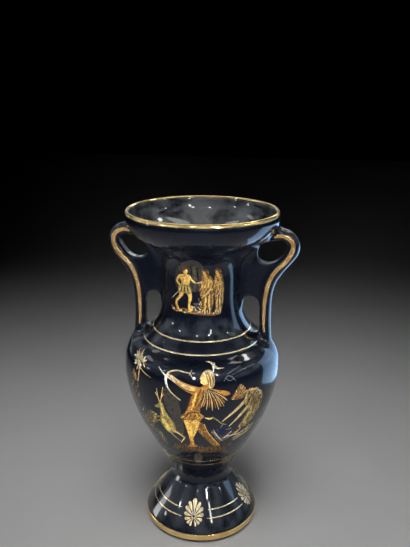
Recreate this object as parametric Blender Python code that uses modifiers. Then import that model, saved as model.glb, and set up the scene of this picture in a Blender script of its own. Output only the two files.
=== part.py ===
"""A tall two-handled decorative vase, slip-cast in one piece and glazed black.

The pot is a turned shell: rolled rim, flared lip, straight neck, round shoulder, tapering body,
narrow waist and a coned foot. Two flat handles leave the lip, curl outwards and down, and land on
the shoulder. A web of clay ties each handle to the neck, so each has a small loop above the web and
a long gap below it. The vase stands on the XY plane, its axis is Z and its handles lie along X.
"""
from math import cos, pi, radians, sin

import bmesh
import bpy
from mathutils import Matrix, Vector

MM = 0.001

# Heights of the stretches of the pot, stacked from the table up, in mm
FOOT_EDGE_HEIGHT = 6.0       # widest line of the foot
FOOT_CONE_HEIGHT = 30.0      # from that line up to the crease under the stem
STEM_HEIGHT = 4.5            # crease to waist
BODY_HEIGHT = 92.5           # waist to belly
SHOULDER_HEIGHT = 22.5       # belly to the shoulder line
NECK_BASE_HEIGHT = 34.5      # shoulder line to the straight neck
NECK_HEIGHT = 15.0           # straight neck
LIP_HEIGHT = 40.0            # neck to the widest line of the rim
RIM_ROLL_HEIGHT = 5.0        # that line to the crown of the rim

# Radii of the outer surface, in mm
FOOT_EDGE_RADIUS = 44.2
FOOT_EDGE_ROUND = 2.6        # how far the foot's lower edge turns in before the flat ring
FOOT_RING_WIDTH = 5.0        # flat ring that the vase stands on
CREASE_RADIUS = 22.8
WAIST_RADIUS = 21.8
BELLY_RADIUS = 58.5
SHOULDER_RADIUS = 43.7
NECK_RADIUS = 29.0
RIM_RADIUS = 56.0

# How the curves of the outline lean and how far each end pulls its curve, in degrees and mm
LIP_LEAN = 9.6
LIP_TOP_PULL = 20.6
LIP_BOTTOM_PULL = 24.0
SHOULDER_LEAN = 38.2
NECK_BASE_PULL = 26.0
SHOULDER_PULL = 8.0
SHOULDER_BELLY_PULL = 20.0
BELLY_PULL = 42.0
WAIST_PULL = 11.0
CONE_LEAN = 41.0
CONE_TOP_PULL = 9.0
FOOT_EDGE_PULL = 5.0

# Clay, in mm
WALL = 4.0
RIM_ROLL_WIDTH = 4.0
FLOOR_THICKNESS = 5.0
FOOT_RECESS = 3.5
RECESS_SLOPE = 1.2
FLOOR_FILLET = 4.0

# Handles, in mm and degrees: where they run and how thick they are
STRAP_WIDTH = 11.0           # across the handle, along Y
STRAP_THICKNESS = 8.4        # from the side that faces the neck to the crown
STRAP_CROWN_RISE = 3.2       # how far the rounded outer side stands out of the flat cheeks
STRAP_INNER_ROUND = 1.0
LOOP_RADIUS = 9.2            # of the curl's middle line
LOOP_OUTSIDE_RIM = 1.0       # curl centre beyond the rim's widest line
LOOP_BELOW_RIM = 20.5        # curl centre below the rim's widest line
LOOP_END_ANGLE = -37.5
STRAP_GAP = 14.0             # clear gap between the straight neck and the handle
STRAP_WAIST_ABOVE_SHOULDER = 16.5
STRAP_UPPER_PULL = 22.0
STRAP_MIDDLE_PULL = 28.0
STRAP_FOOT_SPREAD = 1.8      # how far the foot of the handle leans out
WEB_THICKNESS = 8.6
WEB_ARCH_RISE = 7.0
WEB_ARCH_ABOVE_SHOULDER = 25.0
WEB_POST_WIDTH = 11.5        # clay left standing between the neck and the small upper opening
WEB_POST_BELOW_LOOP = 4.5    # where the opening's end turns upright, below the curl's centre
WEB_LOOP_ANGLE = -20.0
WEB_EDGE_LEAN = 4.0
WEB_EDGE_PULL = 12.0

# Facets: round the axis, and along each curve of the outline, coarser inside than outside
SEGMENTS = 60
LIP_STEPS = 9
NECK_BASE_STEPS = 7
SHOULDER_STEPS = 5
BODY_STEPS = 8
CONE_STEPS = 4
INSIDE_SHARE = 0.6
FEWEST_STEPS = 3
ROUND_STEPS = 3
CURL_STEPS = 9
STRAP_STEPS = 9
STRAP_FOOT_STEPS = 4
WEB_STEPS = 9

# Heights above the table that follow from the stretches
CREASE_Z = FOOT_EDGE_HEIGHT + FOOT_CONE_HEIGHT
WAIST_Z = CREASE_Z + STEM_HEIGHT
BELLY_Z = WAIST_Z + BODY_HEIGHT
SHOULDER_Z = BELLY_Z + SHOULDER_HEIGHT
NECK_BOTTOM_Z = SHOULDER_Z + NECK_BASE_HEIGHT
NECK_TOP_Z = NECK_BOTTOM_Z + NECK_HEIGHT
RIM_Z = NECK_TOP_Z + LIP_HEIGHT
TOP_Z = RIM_Z + RIM_ROLL_HEIGHT


def clear_scene():
    """Remove everything that a new file starts with."""
    for item in list(bpy.data.objects):
        bpy.data.objects.remove(item, do_unlink=True)


def new_collection(name):
    """Make a collection under the scene."""
    collection = bpy.data.collections.new(name)
    bpy.context.scene.collection.children.link(collection)
    return collection


def black_glaze():
    """Glossy black glaze with a slight blue cast."""
    material = bpy.data.materials.new("black_glaze")
    material.use_nodes = True
    shader = material.node_tree.nodes["Principled BSDF"]
    shader.inputs["Base Color"].default_value = (0.008, 0.009, 0.014, 1.0)
    shader.inputs["Roughness"].default_value = 0.08
    shader.inputs["Metallic"].default_value = 0.0
    material.diffuse_color = (0.02, 0.02, 0.03, 1.0)
    return material


def leaning(length, lean):
    """An offset of the given length downwards, leaning outwards by an angle in degrees."""
    return Vector((length * sin(radians(lean)), -length * cos(radians(lean))))


def curve_points(start, start_pull, end_pull, end, steps):
    """Points of a cubic curve from start to just before end."""
    controls = [start, start + start_pull, end + end_pull, end]
    weights = (1, 3, 3, 1)
    points = []
    for step in range(steps):
        t = step / steps
        shares = [w * (1 - t) ** (3 - i) * t ** i for i, w in enumerate(weights)]
        points.append(sum((c * s for c, s in zip(controls, shares)), Vector((0.0, 0.0))))
    return points


def outer_profile(share=1.0):
    """Outer side of the pot as (radius, height), from the rim's widest line down to the table.

    Its curves take the given share of their full number of facets.
    """
    lip_steps, neck_base_steps, shoulder_steps, body_steps, cone_steps = (
        max(round(steps * share), FEWEST_STEPS)
        for steps in (LIP_STEPS, NECK_BASE_STEPS, SHOULDER_STEPS, BODY_STEPS, CONE_STEPS))
    rim = Vector((RIM_RADIUS, RIM_Z))
    neck_top = Vector((NECK_RADIUS, NECK_TOP_Z))
    neck_bottom = Vector((NECK_RADIUS, NECK_BOTTOM_Z))
    shoulder = Vector((SHOULDER_RADIUS, SHOULDER_Z))
    belly = Vector((BELLY_RADIUS, BELLY_Z))
    waist = Vector((WAIST_RADIUS, WAIST_Z))
    crease = Vector((CREASE_RADIUS, CREASE_Z))
    foot_edge = Vector((FOOT_EDGE_RADIUS, FOOT_EDGE_HEIGHT))
    down = Vector((0.0, -1.0))
    points = curve_points(rim, leaning(LIP_TOP_PULL, -LIP_LEAN), -down * LIP_BOTTOM_PULL, neck_top,
                          lip_steps)
    points.append(neck_top)
    points += curve_points(neck_bottom, down * NECK_BASE_PULL, -leaning(SHOULDER_PULL, SHOULDER_LEAN),
                           shoulder, neck_base_steps)
    points += curve_points(shoulder, leaning(SHOULDER_PULL, SHOULDER_LEAN), -down * SHOULDER_BELLY_PULL,
                           belly, shoulder_steps)
    points += curve_points(belly, down * BELLY_PULL, -down * WAIST_PULL, waist, body_steps)
    points.append(waist)
    points += curve_points(crease, leaning(CONE_TOP_PULL, CONE_LEAN), -down * FOOT_EDGE_PULL, foot_edge,
                           cone_steps)
    for step in range(ROUND_STEPS + 1):
        turn = pi / 2 * step / ROUND_STEPS
        points.append(Vector((FOOT_EDGE_RADIUS - FOOT_EDGE_ROUND * (1 - cos(turn)),
                              FOOT_EDGE_HEIGHT * (1 - sin(turn)))))
    return points


def inset(points, depth):
    """The same outline moved into the clay by depth, square to the outline at every point."""
    moved = []
    for index, point in enumerate(points):
        before = points[max(index - 1, 0)]
        after = points[min(index + 1, len(points) - 1)]
        along = (after - before).normalized()
        moved.append(point + Vector((along.y, -along.x)) * depth)
    return moved


def underside():
    """From the standing ring up into the shallow recess below the foot, ending on the axis."""
    ring_inner = FOOT_EDGE_RADIUS - FOOT_EDGE_ROUND - FOOT_RING_WIDTH
    return [Vector((ring_inner, 0.0)), Vector((ring_inner - RECESS_SLOPE, FOOT_RECESS)),
            Vector((0.0, FOOT_RECESS))]


def inner_profile():
    """Inside of the pot, from the axis on the floor up to just below the rim's widest line."""
    floor_z = FOOT_RECESS + FLOOR_THICKNESS
    wall = [p for p in inset(outer_profile(INSIDE_SHARE), WALL) if p.y > floor_z + FLOOR_FILLET / 2]
    foot_of_wall = wall[-1]
    floor_edge = Vector((foot_of_wall.x - FLOOR_FILLET, floor_z))
    corner = foot_of_wall.lerp(floor_edge, 0.5) + Vector((FLOOR_FILLET / 8, -FLOOR_FILLET / 8))
    return [Vector((0.0, floor_z)), floor_edge, corner] + wall[::-1]


def rim_roll():
    """The rounded top of the rim, from its inner side over the crown to its widest line."""
    half = RIM_ROLL_WIDTH / 2
    centre = RIM_RADIUS - half
    angles = [radians(a) for a in (150, 120, 90, 60, 30)]
    return [Vector((centre + half * cos(a), RIM_Z + RIM_ROLL_HEIGHT * sin(a))) for a in angles]


def turned(name, profile, collection):
    """Turn an outline of (radius, height) points round the Z axis."""
    mesh = bpy.data.meshes.new(name)
    shape = bmesh.new()
    corners = [shape.verts.new((p.x * MM, 0.0, p.y * MM)) for p in profile]
    for first, second in zip(corners, corners[1:]):
        shape.edges.new((first, second))
    shape.to_mesh(mesh)
    shape.free()
    item = bpy.data.objects.new(name, mesh)
    collection.objects.link(item)
    screw = item.modifiers.new("Turn", "SCREW")
    screw.axis = "Z"
    screw.angle = 2 * pi
    screw.steps = SEGMENTS
    screw.render_steps = SEGMENTS
    screw.use_merge_vertices = True
    screw.merge_threshold = 0.00001
    screw.use_smooth_shade = True
    return item


def pot_shell(collection):
    """The hollow pot without its handles: inside, rim, outside and underside in one outline."""
    profile = inner_profile() + rim_roll() + outer_profile() + underside()
    return turned("vase", profile, collection)


def trimming_plug(collection):
    """A turned solid that ends half a wall inside the pot's outer side, where handles stop."""
    half_wall = inset(outer_profile(), WALL / 2)
    upper = [p for p in half_wall if p.y > WAIST_Z]
    top = [Vector((0.0, TOP_Z)), Vector((upper[0].x, TOP_Z))]
    profile = top + upper + [Vector((0.0, upper[-1].y))]
    return turned("handle_trimming_plug", profile, collection)


def strap_gap_radius():
    """Distance from the axis to the middle line of the handle at its narrowest place."""
    return NECK_RADIUS + STRAP_GAP + STRAP_THICKNESS / 2


def loop_centre():
    """Centre of the curl, as (distance from the axis, height)."""
    return Vector((RIM_RADIUS + LOOP_OUTSIDE_RIM, RIM_Z - LOOP_BELOW_RIM))


def on_loop(angle, radius=LOOP_RADIUS):
    """A point of the curl at an angle in degrees, 0 facing away from the axis and 90 up."""
    turn = radians(angle)
    return loop_centre() + Vector((radius * cos(turn), radius * sin(turn)))


def strap_line():
    """Middle line of a handle, from inside the lip, round the curl and down into the shoulder."""
    top = on_loop(90)
    start = Vector((RIM_RADIUS - 3 * WALL, top.y))
    sweep = LOOP_END_ANGLE - 90
    curl = [on_loop(90 + sweep * step / CURL_STEPS) for step in range(CURL_STEPS)]
    curl_end = on_loop(LOOP_END_ANGLE)
    curl_way = Vector((sin(radians(LOOP_END_ANGLE)), -cos(radians(LOOP_END_ANGLE))))
    narrow = Vector((strap_gap_radius(), SHOULDER_Z + STRAP_WAIST_ABOVE_SHOULDER))
    foot = Vector((strap_gap_radius() + STRAP_FOOT_SPREAD, SHOULDER_Z - 3 * WALL))
    points = [start, start.lerp(top, 0.6)] + curl
    points += curve_points(curl_end, curl_way * STRAP_UPPER_PULL, Vector((0.0, STRAP_MIDDLE_PULL)),
                           narrow, STRAP_STEPS)
    middle = Vector((0.0, (narrow.y - foot.y) / 3))
    points += curve_points(narrow, -middle, middle, foot, STRAP_FOOT_STEPS)
    points.append(foot)
    return points


def strap_section():
    """Outline of the handle's section: x towards the crown, y across, both from its middle."""
    half_thickness = STRAP_THICKNESS / 2
    half_width = STRAP_WIDTH / 2
    cheek = half_thickness - STRAP_CROWN_RISE
    crown = [(cheek + STRAP_CROWN_RISE * sin(radians(a)), half_width * cos(radians(a)))
             for a in (0, 30, 60)]
    inner = [(-half_thickness, half_width - STRAP_INNER_ROUND),
             (STRAP_INNER_ROUND - half_thickness, half_width)]
    half = inner + crown
    return half + [(half_thickness, 0.0)] + [(x, -y) for x, y in reversed(half)]


def flat_curve(name, points, closed, collection):
    """A 2D curve object through points in mm."""
    data = bpy.data.curves.new(name, "CURVE")
    data.dimensions = "2D"
    spline = data.splines.new("POLY")
    spline.points.add(len(points) - 1)
    for slot, point in zip(spline.points, points):
        slot.co = (point[0] * MM, point[1] * MM, 0.0, 1.0)
    spline.use_cyclic_u = closed
    item = bpy.data.objects.new(name, data)
    collection.objects.link(item)
    return item


def made_mesh(item, name, place, collection):
    """Turn a curve object into a mesh object at a place, with its caps welded."""
    item.matrix_world = place
    bpy.context.view_layer.update()
    graph = bpy.context.evaluated_depsgraph_get()
    mesh = bpy.data.meshes.new_from_object(item.evaluated_get(graph))
    shape = bmesh.new()
    shape.from_mesh(mesh)
    bmesh.ops.remove_doubles(shape, verts=shape.verts, dist=0.00001)
    bmesh.ops.recalc_face_normals(shape, faces=shape.faces)
    shape.to_mesh(mesh)
    shape.free()
    solid = bpy.data.objects.new(name, mesh)
    solid.matrix_world = place
    collection.objects.link(solid)
    bpy.data.objects.remove(item, do_unlink=True)
    return solid


def handle_place(side):
    """Stand a flat drawing up in the XZ plane, on the +X side or turned round to the -X side."""
    turn = Matrix.Rotation(0.0 if side > 0 else pi, 4, "Z")
    return turn @ Matrix.Rotation(pi / 2, 4, "X")


def strap(side, collection):
    """The handle's strap: its section carried along its middle line."""
    section = flat_curve("strap_section", strap_section(), True, collection)
    line = flat_curve("strap_line", strap_line(), False, collection)
    line.data.bevel_mode = "OBJECT"
    line.data.bevel_object = section
    line.data.use_fill_caps = True
    solid = made_mesh(line, f"strap_{side_name(side)}", handle_place(side), collection)
    bpy.data.objects.remove(section, do_unlink=True)
    return solid


def web_outline():
    """Outline of the clay between neck and handle, from the lower arch round to its start.

    It runs on into the neck and the lip, where the trimming plug ends it.
    """
    arch_z = SHOULDER_Z + WEB_ARCH_ABOVE_SHOULDER
    half_gap = STRAP_GAP / 2
    arch = [Vector((NECK_RADIUS + half_gap - half_gap * cos(radians(a)),
                    arch_z + WEB_ARCH_RISE * sin(radians(a))))
            for a in (180 * step / WEB_STEPS for step in range(WEB_STEPS + 1))]
    edge = [p for p in strap_line()[2:] if arch_z < p.y < on_loop(WEB_LOOP_ANGLE).y]
    loop_side = on_loop(WEB_LOOP_ANGLE, LOOP_RADIUS - STRAP_THICKNESS / 2)
    post = Vector((NECK_RADIUS + WEB_POST_WIDTH, loop_centre().y - WEB_POST_BELOW_LOOP))
    valley = curve_points(loop_side, Vector((-WEB_EDGE_LEAN, -WEB_EDGE_PULL)),
                          Vector((0.0, -WEB_EDGE_PULL)), post, WEB_STEPS)
    lip_z = on_loop(90).y
    inside = NECK_RADIUS - WALL
    return ([Vector((inside, arch_z))] + arch + [Vector((strap_gap_radius(), arch_z))]
            + edge[::-1] + valley + [post, Vector((post.x, lip_z)), Vector((inside, lip_z))])


def web(side, collection):
    """The web as a plate, standing in the plane of the handles."""
    drawing = flat_curve("web_outline", web_outline(), True, collection)
    drawing.data.fill_mode = "BOTH"
    drawing.data.extrude = WEB_THICKNESS / 2 * MM
    return made_mesh(drawing, f"web_{side_name(side)}", handle_place(side), collection)


def side_name(side):
    """Word for a side of the vase."""
    return "right" if side > 0 else "left"


def join(item, operation, other):
    """Add an exact Boolean that uses another object."""
    step = item.modifiers.new(f"{operation.title()} {other.name}", "BOOLEAN")
    step.operation = operation
    step.solver = "EXACT"
    step.object = other


def as_guide(item):
    """Mark an object as one that only shapes others."""
    item.hide_render = True
    item.display_type = "WIRE"


def build():
    """Make the vase."""
    clear_scene()
    parts = new_collection("two_handled_vase")
    guides = new_collection("vase_guides")
    pot = pot_shell(parts)
    plug = trimming_plug(guides)
    as_guide(plug)
    for side in (1, -1):
        handle = strap(side, guides)
        plate = web(side, guides)
        join(handle, "UNION", plate)
        join(handle, "DIFFERENCE", plug)
        join(pot, "UNION", handle)
        as_guide(plate)
        as_guide(handle)
    pot.data.materials.append(black_glaze())
    return pot


build()
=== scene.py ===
"""Looks of a tall two-handled vase in glossy black glaze, with gold lustre work and painted figures.

The pot is turned, its handles are carried round their curls and tied to the neck by webs of clay, and
glaze softens every join. Gold lines, bands, palmettes and the two painted pictures lie on the glaze as
thin films. The vase's design values are in millimetres and degrees, meshes and the studio in metres.
"""
import logging
from dataclasses import dataclass, field
from enum import Enum
from math import cos, pi, radians, sin
from typing import Callable, Sequence

import bmesh
import bpy
import numpy as np
from mathutils import Matrix, Vector


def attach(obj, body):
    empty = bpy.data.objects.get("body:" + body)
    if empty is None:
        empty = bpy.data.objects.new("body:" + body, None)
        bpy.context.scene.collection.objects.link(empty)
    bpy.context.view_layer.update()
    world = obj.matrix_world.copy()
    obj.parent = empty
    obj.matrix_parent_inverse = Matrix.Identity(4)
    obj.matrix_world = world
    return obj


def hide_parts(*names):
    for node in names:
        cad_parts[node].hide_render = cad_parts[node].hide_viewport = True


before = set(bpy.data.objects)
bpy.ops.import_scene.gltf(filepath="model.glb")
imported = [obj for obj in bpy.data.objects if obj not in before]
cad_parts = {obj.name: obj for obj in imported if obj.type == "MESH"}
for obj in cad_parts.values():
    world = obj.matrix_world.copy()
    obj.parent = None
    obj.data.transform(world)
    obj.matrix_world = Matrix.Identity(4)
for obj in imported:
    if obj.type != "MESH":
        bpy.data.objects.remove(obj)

LOG = logging.getLogger("vase")
MM = 0.001
BODY = "root"
CAD_NODE = "vase"
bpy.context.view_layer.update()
Pair = tuple[float, float]
Triple = tuple[float, float, float]
Place = Callable[[np.ndarray, np.ndarray, np.ndarray], np.ndarray]

FOOT: Triple = (0.0, 0.0, 0.03)
SHOULDER: Triple = (0.0, 0.0, 0.15)


class Paint(Enum):
    """Colours that the pictures are painted with, as linear red, green and blue."""

    WHITE = (0.80, 0.80, 0.78)
    CREAM = (0.66, 0.54, 0.33)
    PALE_GOLD = (0.72, 0.50, 0.19)
    YELLOW = (0.80, 0.50, 0.10)
    LEMON = (0.58, 0.50, 0.12)
    GOLD = (0.56, 0.30, 0.060)
    AMBER = (0.36, 0.165, 0.034)
    BROWN = (0.17, 0.080, 0.026)
    UMBER = (0.07, 0.036, 0.016)
    OLIVE = (0.26, 0.21, 0.075)
    MOSS = (0.10, 0.088, 0.038)
    SHADE = (0.040, 0.037, 0.033)
    INK = (0.006, 0.005, 0.005)
    GREY = (0.13, 0.13, 0.145)
    BLUE = (0.004, 0.012, 0.060)


(WHITE, CREAM, PALE_GOLD, YELLOW, LEMON, GOLD, AMBER, BROWN, UMBER, OLIVE, MOSS, SHADE, INK, GREY,
 BLUE) = Paint


class Use(Enum):
    """What a light is there for: to fill what is matt, or to be mirrored by what is glossy."""

    FILL = "fill"
    GLOSS = "gloss"


class Side(Enum):
    """The two handles, by the sign of X."""

    RIGHT = 1
    LEFT = -1


def leaning(length: float, lean: float) -> np.ndarray:
    """An offset of a length downwards, leaning outwards by an angle in degrees."""
    return np.array([length * sin(radians(lean)), -length * cos(radians(lean))])


def cubic(start: np.ndarray, start_pull: np.ndarray, end_pull: np.ndarray, end: np.ndarray,
          spacing: float) -> np.ndarray:
    """Points along a cubic curve, its end left out.

    Args:
        start: first point.
        start_pull: offset from start to the control point that it leaves towards.
        end_pull: offset from end to the control point that it comes from.
        end: last point, not returned.
        spacing: about how far apart the points lie, in mm.

    Returns:
        The points, one a row.
    """
    controls = np.array([start, start + start_pull, end + end_pull, end], float)
    steps = max(int(np.linalg.norm(np.diff(controls, axis=0), axis=1).sum() / spacing), 2)
    t = (np.arange(steps) / steps)[:, None]
    weights = [(1 - t) ** 3, 3 * t * (1 - t) ** 2, 3 * t ** 2 * (1 - t), t ** 3]
    return sum(w * c for w, c in zip(weights, controls))


def smooth_line(points: Sequence[Pair], spacing: float, closed: bool = False) -> np.ndarray:
    """A smooth curve through given points.

    Args:
        points: the points that the curve passes through.
        spacing: about how far apart the returned points lie.
        closed: whether the curve comes back to its start.

    Returns:
        Points along the curve; a closed one doesn't repeat its start.
    """
    p = np.array(points, float)
    if closed:
        p = np.vstack([p[-1:], p, p[:2]])
    else:
        p = np.vstack([2 * p[0] - p[1], p, 2 * p[-1] - p[-2]])
    out = []
    for a, b, c, d in zip(p, p[1:], p[2:], p[3:]):
        steps = max(int(np.linalg.norm(c - b) / spacing + 0.5), 1)
        t = (np.arange(steps) / steps)[:, None]
        out.append(b + (c - a) / 2 * t + (a - 2.5 * b + 2 * c - d / 2) * t ** 2
                   + (1.5 * (b - c) + (d - a) / 2) * t ** 3)
    if not closed:
        out.append(p[-2:-1])
    return np.vstack(out)


def rounded(points: np.ndarray, corner: np.ndarray, reach: float) -> np.ndarray:
    """Replace what lies within reach of a corner by a curve that leaves both sides smoothly."""
    near = np.nonzero(np.linalg.norm(points - corner, axis=1) <= reach)[0]
    before, after = points[near[0] - 1], points[near[-1] + 1]
    t = np.linspace(0.0, 1.0, 8)[1:-1, None]
    curve = (1 - t) ** 2 * before + 2 * t * (1 - t) * corner + t ** 2 * after
    return np.vstack([points[:near[0]], curve, points[near[-1] + 1:]])


def inset(points: np.ndarray, depth: float) -> np.ndarray:
    """An outline moved to its right by depth, square to itself at every point."""
    along = np.gradient(points, axis=0)
    along /= np.linalg.norm(along, axis=1)[:, None]
    return points + depth * np.stack([along[:, 1], -along[:, 0]], axis=1)


@dataclass(frozen=True)
class PotOutline:
    """Sizes of the turned pot and the outline that they give, as (radius, height) in mm."""

    foot_edge: Pair = (44.2, 6.0)
    crease: Pair = (22.8, 36.0)
    waist: Pair = (21.8, 40.5)
    belly: Pair = (58.35, 133.0)
    shoulder: Pair = (43.7, 155.5)
    neck_bottom: Pair = (29.0, 190.0)
    neck_top: Pair = (29.0, 205.0)
    rim: Pair = (56.0, 245.0)
    roll_width: float = 4.0
    roll_height: float = 4.9
    foot_edge_round: float = 2.6
    ring_width: float = 5.0
    recess: float = 3.5
    recess_slope: float = 1.2
    wall: float = 4.0
    floor: float = 5.0
    floor_fillet: float = 4.0
    soft_corner: float = 2.4
    soft_edge: float = 0.4
    lip_lean: float = 9.6
    lip_pulls: Pair = (20.6, 24.0)
    neck_pull: float = 5.0
    neck_base_pull: float = 26.0
    shoulder_lean: float = 38.2
    shoulder_pull: float = 8.0
    belly_pulls: Pair = (20.0, 42.0)
    waist_pull: float = 11.0
    cone_lean: float = 41.0
    cone_pulls: Pair = (9.0, 5.0)
    inner_spacing: float = 3.0
    corner_spacing: float = 0.8

    def roll(self, start: float, end: float, steps: int) -> np.ndarray:
        """Points over the rolled rim, from one angle to another, 90 at its crown and 0 outside."""
        turn = np.radians(np.linspace(start, end, steps))
        half = self.roll_width / 2
        return np.stack([self.rim[0] - half + half * np.cos(turn),
                         self.rim[1] + self.roll_height * np.sin(turn)], axis=1)

    def side(self, spacing: float) -> np.ndarray:
        """Outer side from the rim's widest line down to the flat standing ring."""
        down = np.array([0.0, -1.0])
        rim, neck_top, neck_bottom, shoulder, belly, waist, crease, foot_edge = (
            np.array(p) for p in (self.rim, self.neck_top, self.neck_bottom, self.shoulder, self.belly,
                                  self.waist, self.crease, self.foot_edge))
        over_shoulder = leaning(self.shoulder_pull, self.shoulder_lean)
        stretches = [
            cubic(rim, leaning(self.lip_pulls[0], -self.lip_lean), -down * self.lip_pulls[1], neck_top,
                  spacing),
            cubic(neck_top, down * self.neck_pull, -down * self.neck_pull, neck_bottom, spacing),
            cubic(neck_bottom, down * self.neck_base_pull, -over_shoulder, shoulder, spacing),
            cubic(shoulder, over_shoulder, -down * self.belly_pulls[0], belly, spacing),
            cubic(belly, down * self.belly_pulls[1], -down * self.waist_pull, waist, spacing * 1.5),
            cubic(waist, (crease - waist) / 3, (waist - crease) / 3, crease,
                  min(spacing, self.corner_spacing)),
            cubic(crease, leaning(self.cone_pulls[0], self.cone_lean), -down * self.cone_pulls[1],
                  foot_edge, spacing),
        ]
        turn = np.linspace(0.0, pi / 2, 9)
        edge = np.stack([foot_edge[0] - self.foot_edge_round * (1 - np.cos(turn)),
                         foot_edge[1] * (1 - np.sin(turn))], axis=1)
        points = np.vstack(stretches + [edge])
        points = rounded(points, crease, self.soft_corner)
        return rounded(points, waist, self.soft_corner)

    def inside(self) -> np.ndarray:
        """Inner side from the axis on the floor up to the rim."""
        floor_z = self.recess + self.floor
        wall = inset(self.side(self.inner_spacing), self.wall)
        wall = wall[wall[:, 1] > floor_z + self.floor_fillet / 2][::-1]
        edge = np.array([wall[0, 0] - self.floor_fillet, floor_z])
        corner = np.array([wall[0, 0] - self.floor_fillet / 4, floor_z])
        fillet = cubic(edge, corner - edge, (corner - wall[0]) / 2, wall[0], self.corner_spacing)
        return np.vstack([[0.0, floor_z], [edge[0] * 0.5, floor_z], fillet, wall[:-1]])

    def underside(self) -> np.ndarray:
        """From the standing ring up into the shallow recess, ending on the axis."""
        ring = self.foot_edge[0] - self.foot_edge_round - self.ring_width
        inner = ring - self.recess_slope
        return np.array([[ring + self.soft_edge, 0.0], [ring, 0.75 * self.soft_edge],
                         [inner, self.recess - self.soft_edge], [inner - 2 * self.soft_edge, self.recess],
                         [ring * 0.5, self.recess], [0.0, self.recess]])

    def whole(self, spacing: float) -> np.ndarray:
        """The closed pot: inside, rolled rim, outer side and underside in one outline."""
        return np.vstack([self.inside(), self.roll(170.0, 10.0, 17), self.side(spacing),
                          self.underside()])


@dataclass(frozen=True)
class HandleShape:
    """Sizes of a handle, in its own plane: distance from the axis, height, and width across."""

    width: float = 11.0
    thickness: float = 8.4
    crown_rise: float = 3.2
    loop_centre: Pair = (57.0, 224.5)
    loop_radius: float = 9.2
    loop_end: float = -37.5
    start: float = 36.0
    narrow: Pair = (47.2, 172.0)
    foot: Pair = (49.0, 139.0)
    web_thickness: float = 8.6
    web_edge_round: float = 1.6
    arch_width: float = 14.0
    arch_base: Pair = (29.0, 180.5)
    arch_rise: float = 7.0
    post: Pair = (40.5, 220.0)
    web_loop_angle: float = -20.0
    web_into_neck: float = 4.0
    upper_pull: float = 22.0
    narrow_pull: float = 28.0
    valley_pull: float = 12.0
    cheek_fullness: float = 0.42
    inner_flat: float = 0.62

    def on_loop(self, angle: float, radius: float) -> np.ndarray:
        """A point of the curl at an angle in degrees, 0 away from the axis and 90 up."""
        return np.array(self.loop_centre) + radius * np.array([cos(radians(angle)), sin(radians(angle))])

    def line(self, spacing: float) -> np.ndarray:
        """Middle line, from inside the lip, round the curl and down into the shoulder."""
        top = self.on_loop(90.0, self.loop_radius)
        start = np.array([self.start, top[1]])
        lead = cubic(start, (top - start) / 3, (start - top) / 3, top, spacing)
        steps = int(radians(90.0 - self.loop_end) * self.loop_radius / spacing)
        curl = np.array([self.on_loop(a, self.loop_radius)
                         for a in np.linspace(90.0, self.loop_end, steps, endpoint=False)])
        end = self.on_loop(self.loop_end, self.loop_radius)
        way = np.array([sin(radians(self.loop_end)), -cos(radians(self.loop_end))])
        narrow, foot = np.array(self.narrow), np.array(self.foot)
        upper = cubic(end, way * self.upper_pull, np.array([0.0, self.narrow_pull]), narrow, spacing)
        middle = np.array([0.0, (narrow[1] - foot[1]) / 3])
        lower = cubic(narrow, -middle, middle, foot, spacing)
        return np.vstack([lead, curl, upper, lower, foot[None]])

    def section(self, steps: int) -> np.ndarray:
        """Outline across the handle: first towards the crown, then across, from its middle."""
        half_thickness, half_width = self.thickness / 2, self.width / 2
        flat = half_thickness - self.crown_rise
        turn = np.linspace(0.0, pi / 2, steps)
        crown = np.stack([flat + self.crown_rise * np.sin(turn), half_width * np.cos(turn)], axis=1)
        turn = np.linspace(-pi / 2, 0.0, steps)
        deep = half_thickness + flat - 0.1
        inner = np.stack([flat + deep * np.sin(turn), half_width * np.cos(turn) ** self.cheek_fullness],
                         axis=1)
        half = np.vstack([inner[:-1], crown])
        half[0, 1] = half_width * self.inner_flat
        return np.vstack([half, half[-2::-1] * [1.0, -1.0]])

    def web(self) -> np.ndarray:
        """Outline of the clay between neck and handle, running on into both."""
        arch_z, gap = self.arch_base[1], self.arch_width / 2
        turn = np.radians(np.linspace(180.0, 0.0, 25))
        arch = np.stack([self.arch_base[0] + gap + gap * np.cos(turn),
                         arch_z + self.arch_rise * np.sin(turn)], axis=1)
        line = self.line(1.0)[1:]
        top = self.on_loop(self.web_loop_angle, self.loop_radius)[1]
        after_curl = line[int(np.argmax(line[:, 0])):]
        edge = after_curl[(after_curl[:, 1] > arch_z) & (after_curl[:, 1] < top)][::-1]
        loop_side = self.on_loop(self.web_loop_angle, self.loop_radius - self.thickness / 2)
        post = np.array(self.post)
        valley = cubic(loop_side, np.array([-self.valley_pull / 3, -self.valley_pull]),
                       np.array([0.0, -self.valley_pull]), post, 1.0)
        lip_z = self.on_loop(90.0, self.loop_radius)[1]
        inside = self.arch_base[0] - self.web_into_neck
        return np.vstack([[inside, arch_z], arch, [self.narrow[0], arch_z], edge, valley, post,
                          [post[0], lip_z], [inside, lip_z]])


def line_distance(points: np.ndarray, line: np.ndarray) -> np.ndarray:
    """Signed distance to an open line in its plane, positive on its left."""
    best = np.full(len(points), np.inf)
    side = np.ones(len(points))
    for start, edge in zip(line, np.diff(line, axis=0)):
        to = points - start
        t = np.clip(to @ edge / (edge @ edge), 0.0, 1.0)
        gap = np.hypot(to[:, 0] - t * edge[0], to[:, 1] - t * edge[1])
        nearer = gap < best
        best[nearer] = gap[nearer]
        side[nearer] = np.where(edge[0] * to[:, 1] < edge[1] * to[:, 0], -1.0, 1.0)[nearer]
    return best * side


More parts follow.
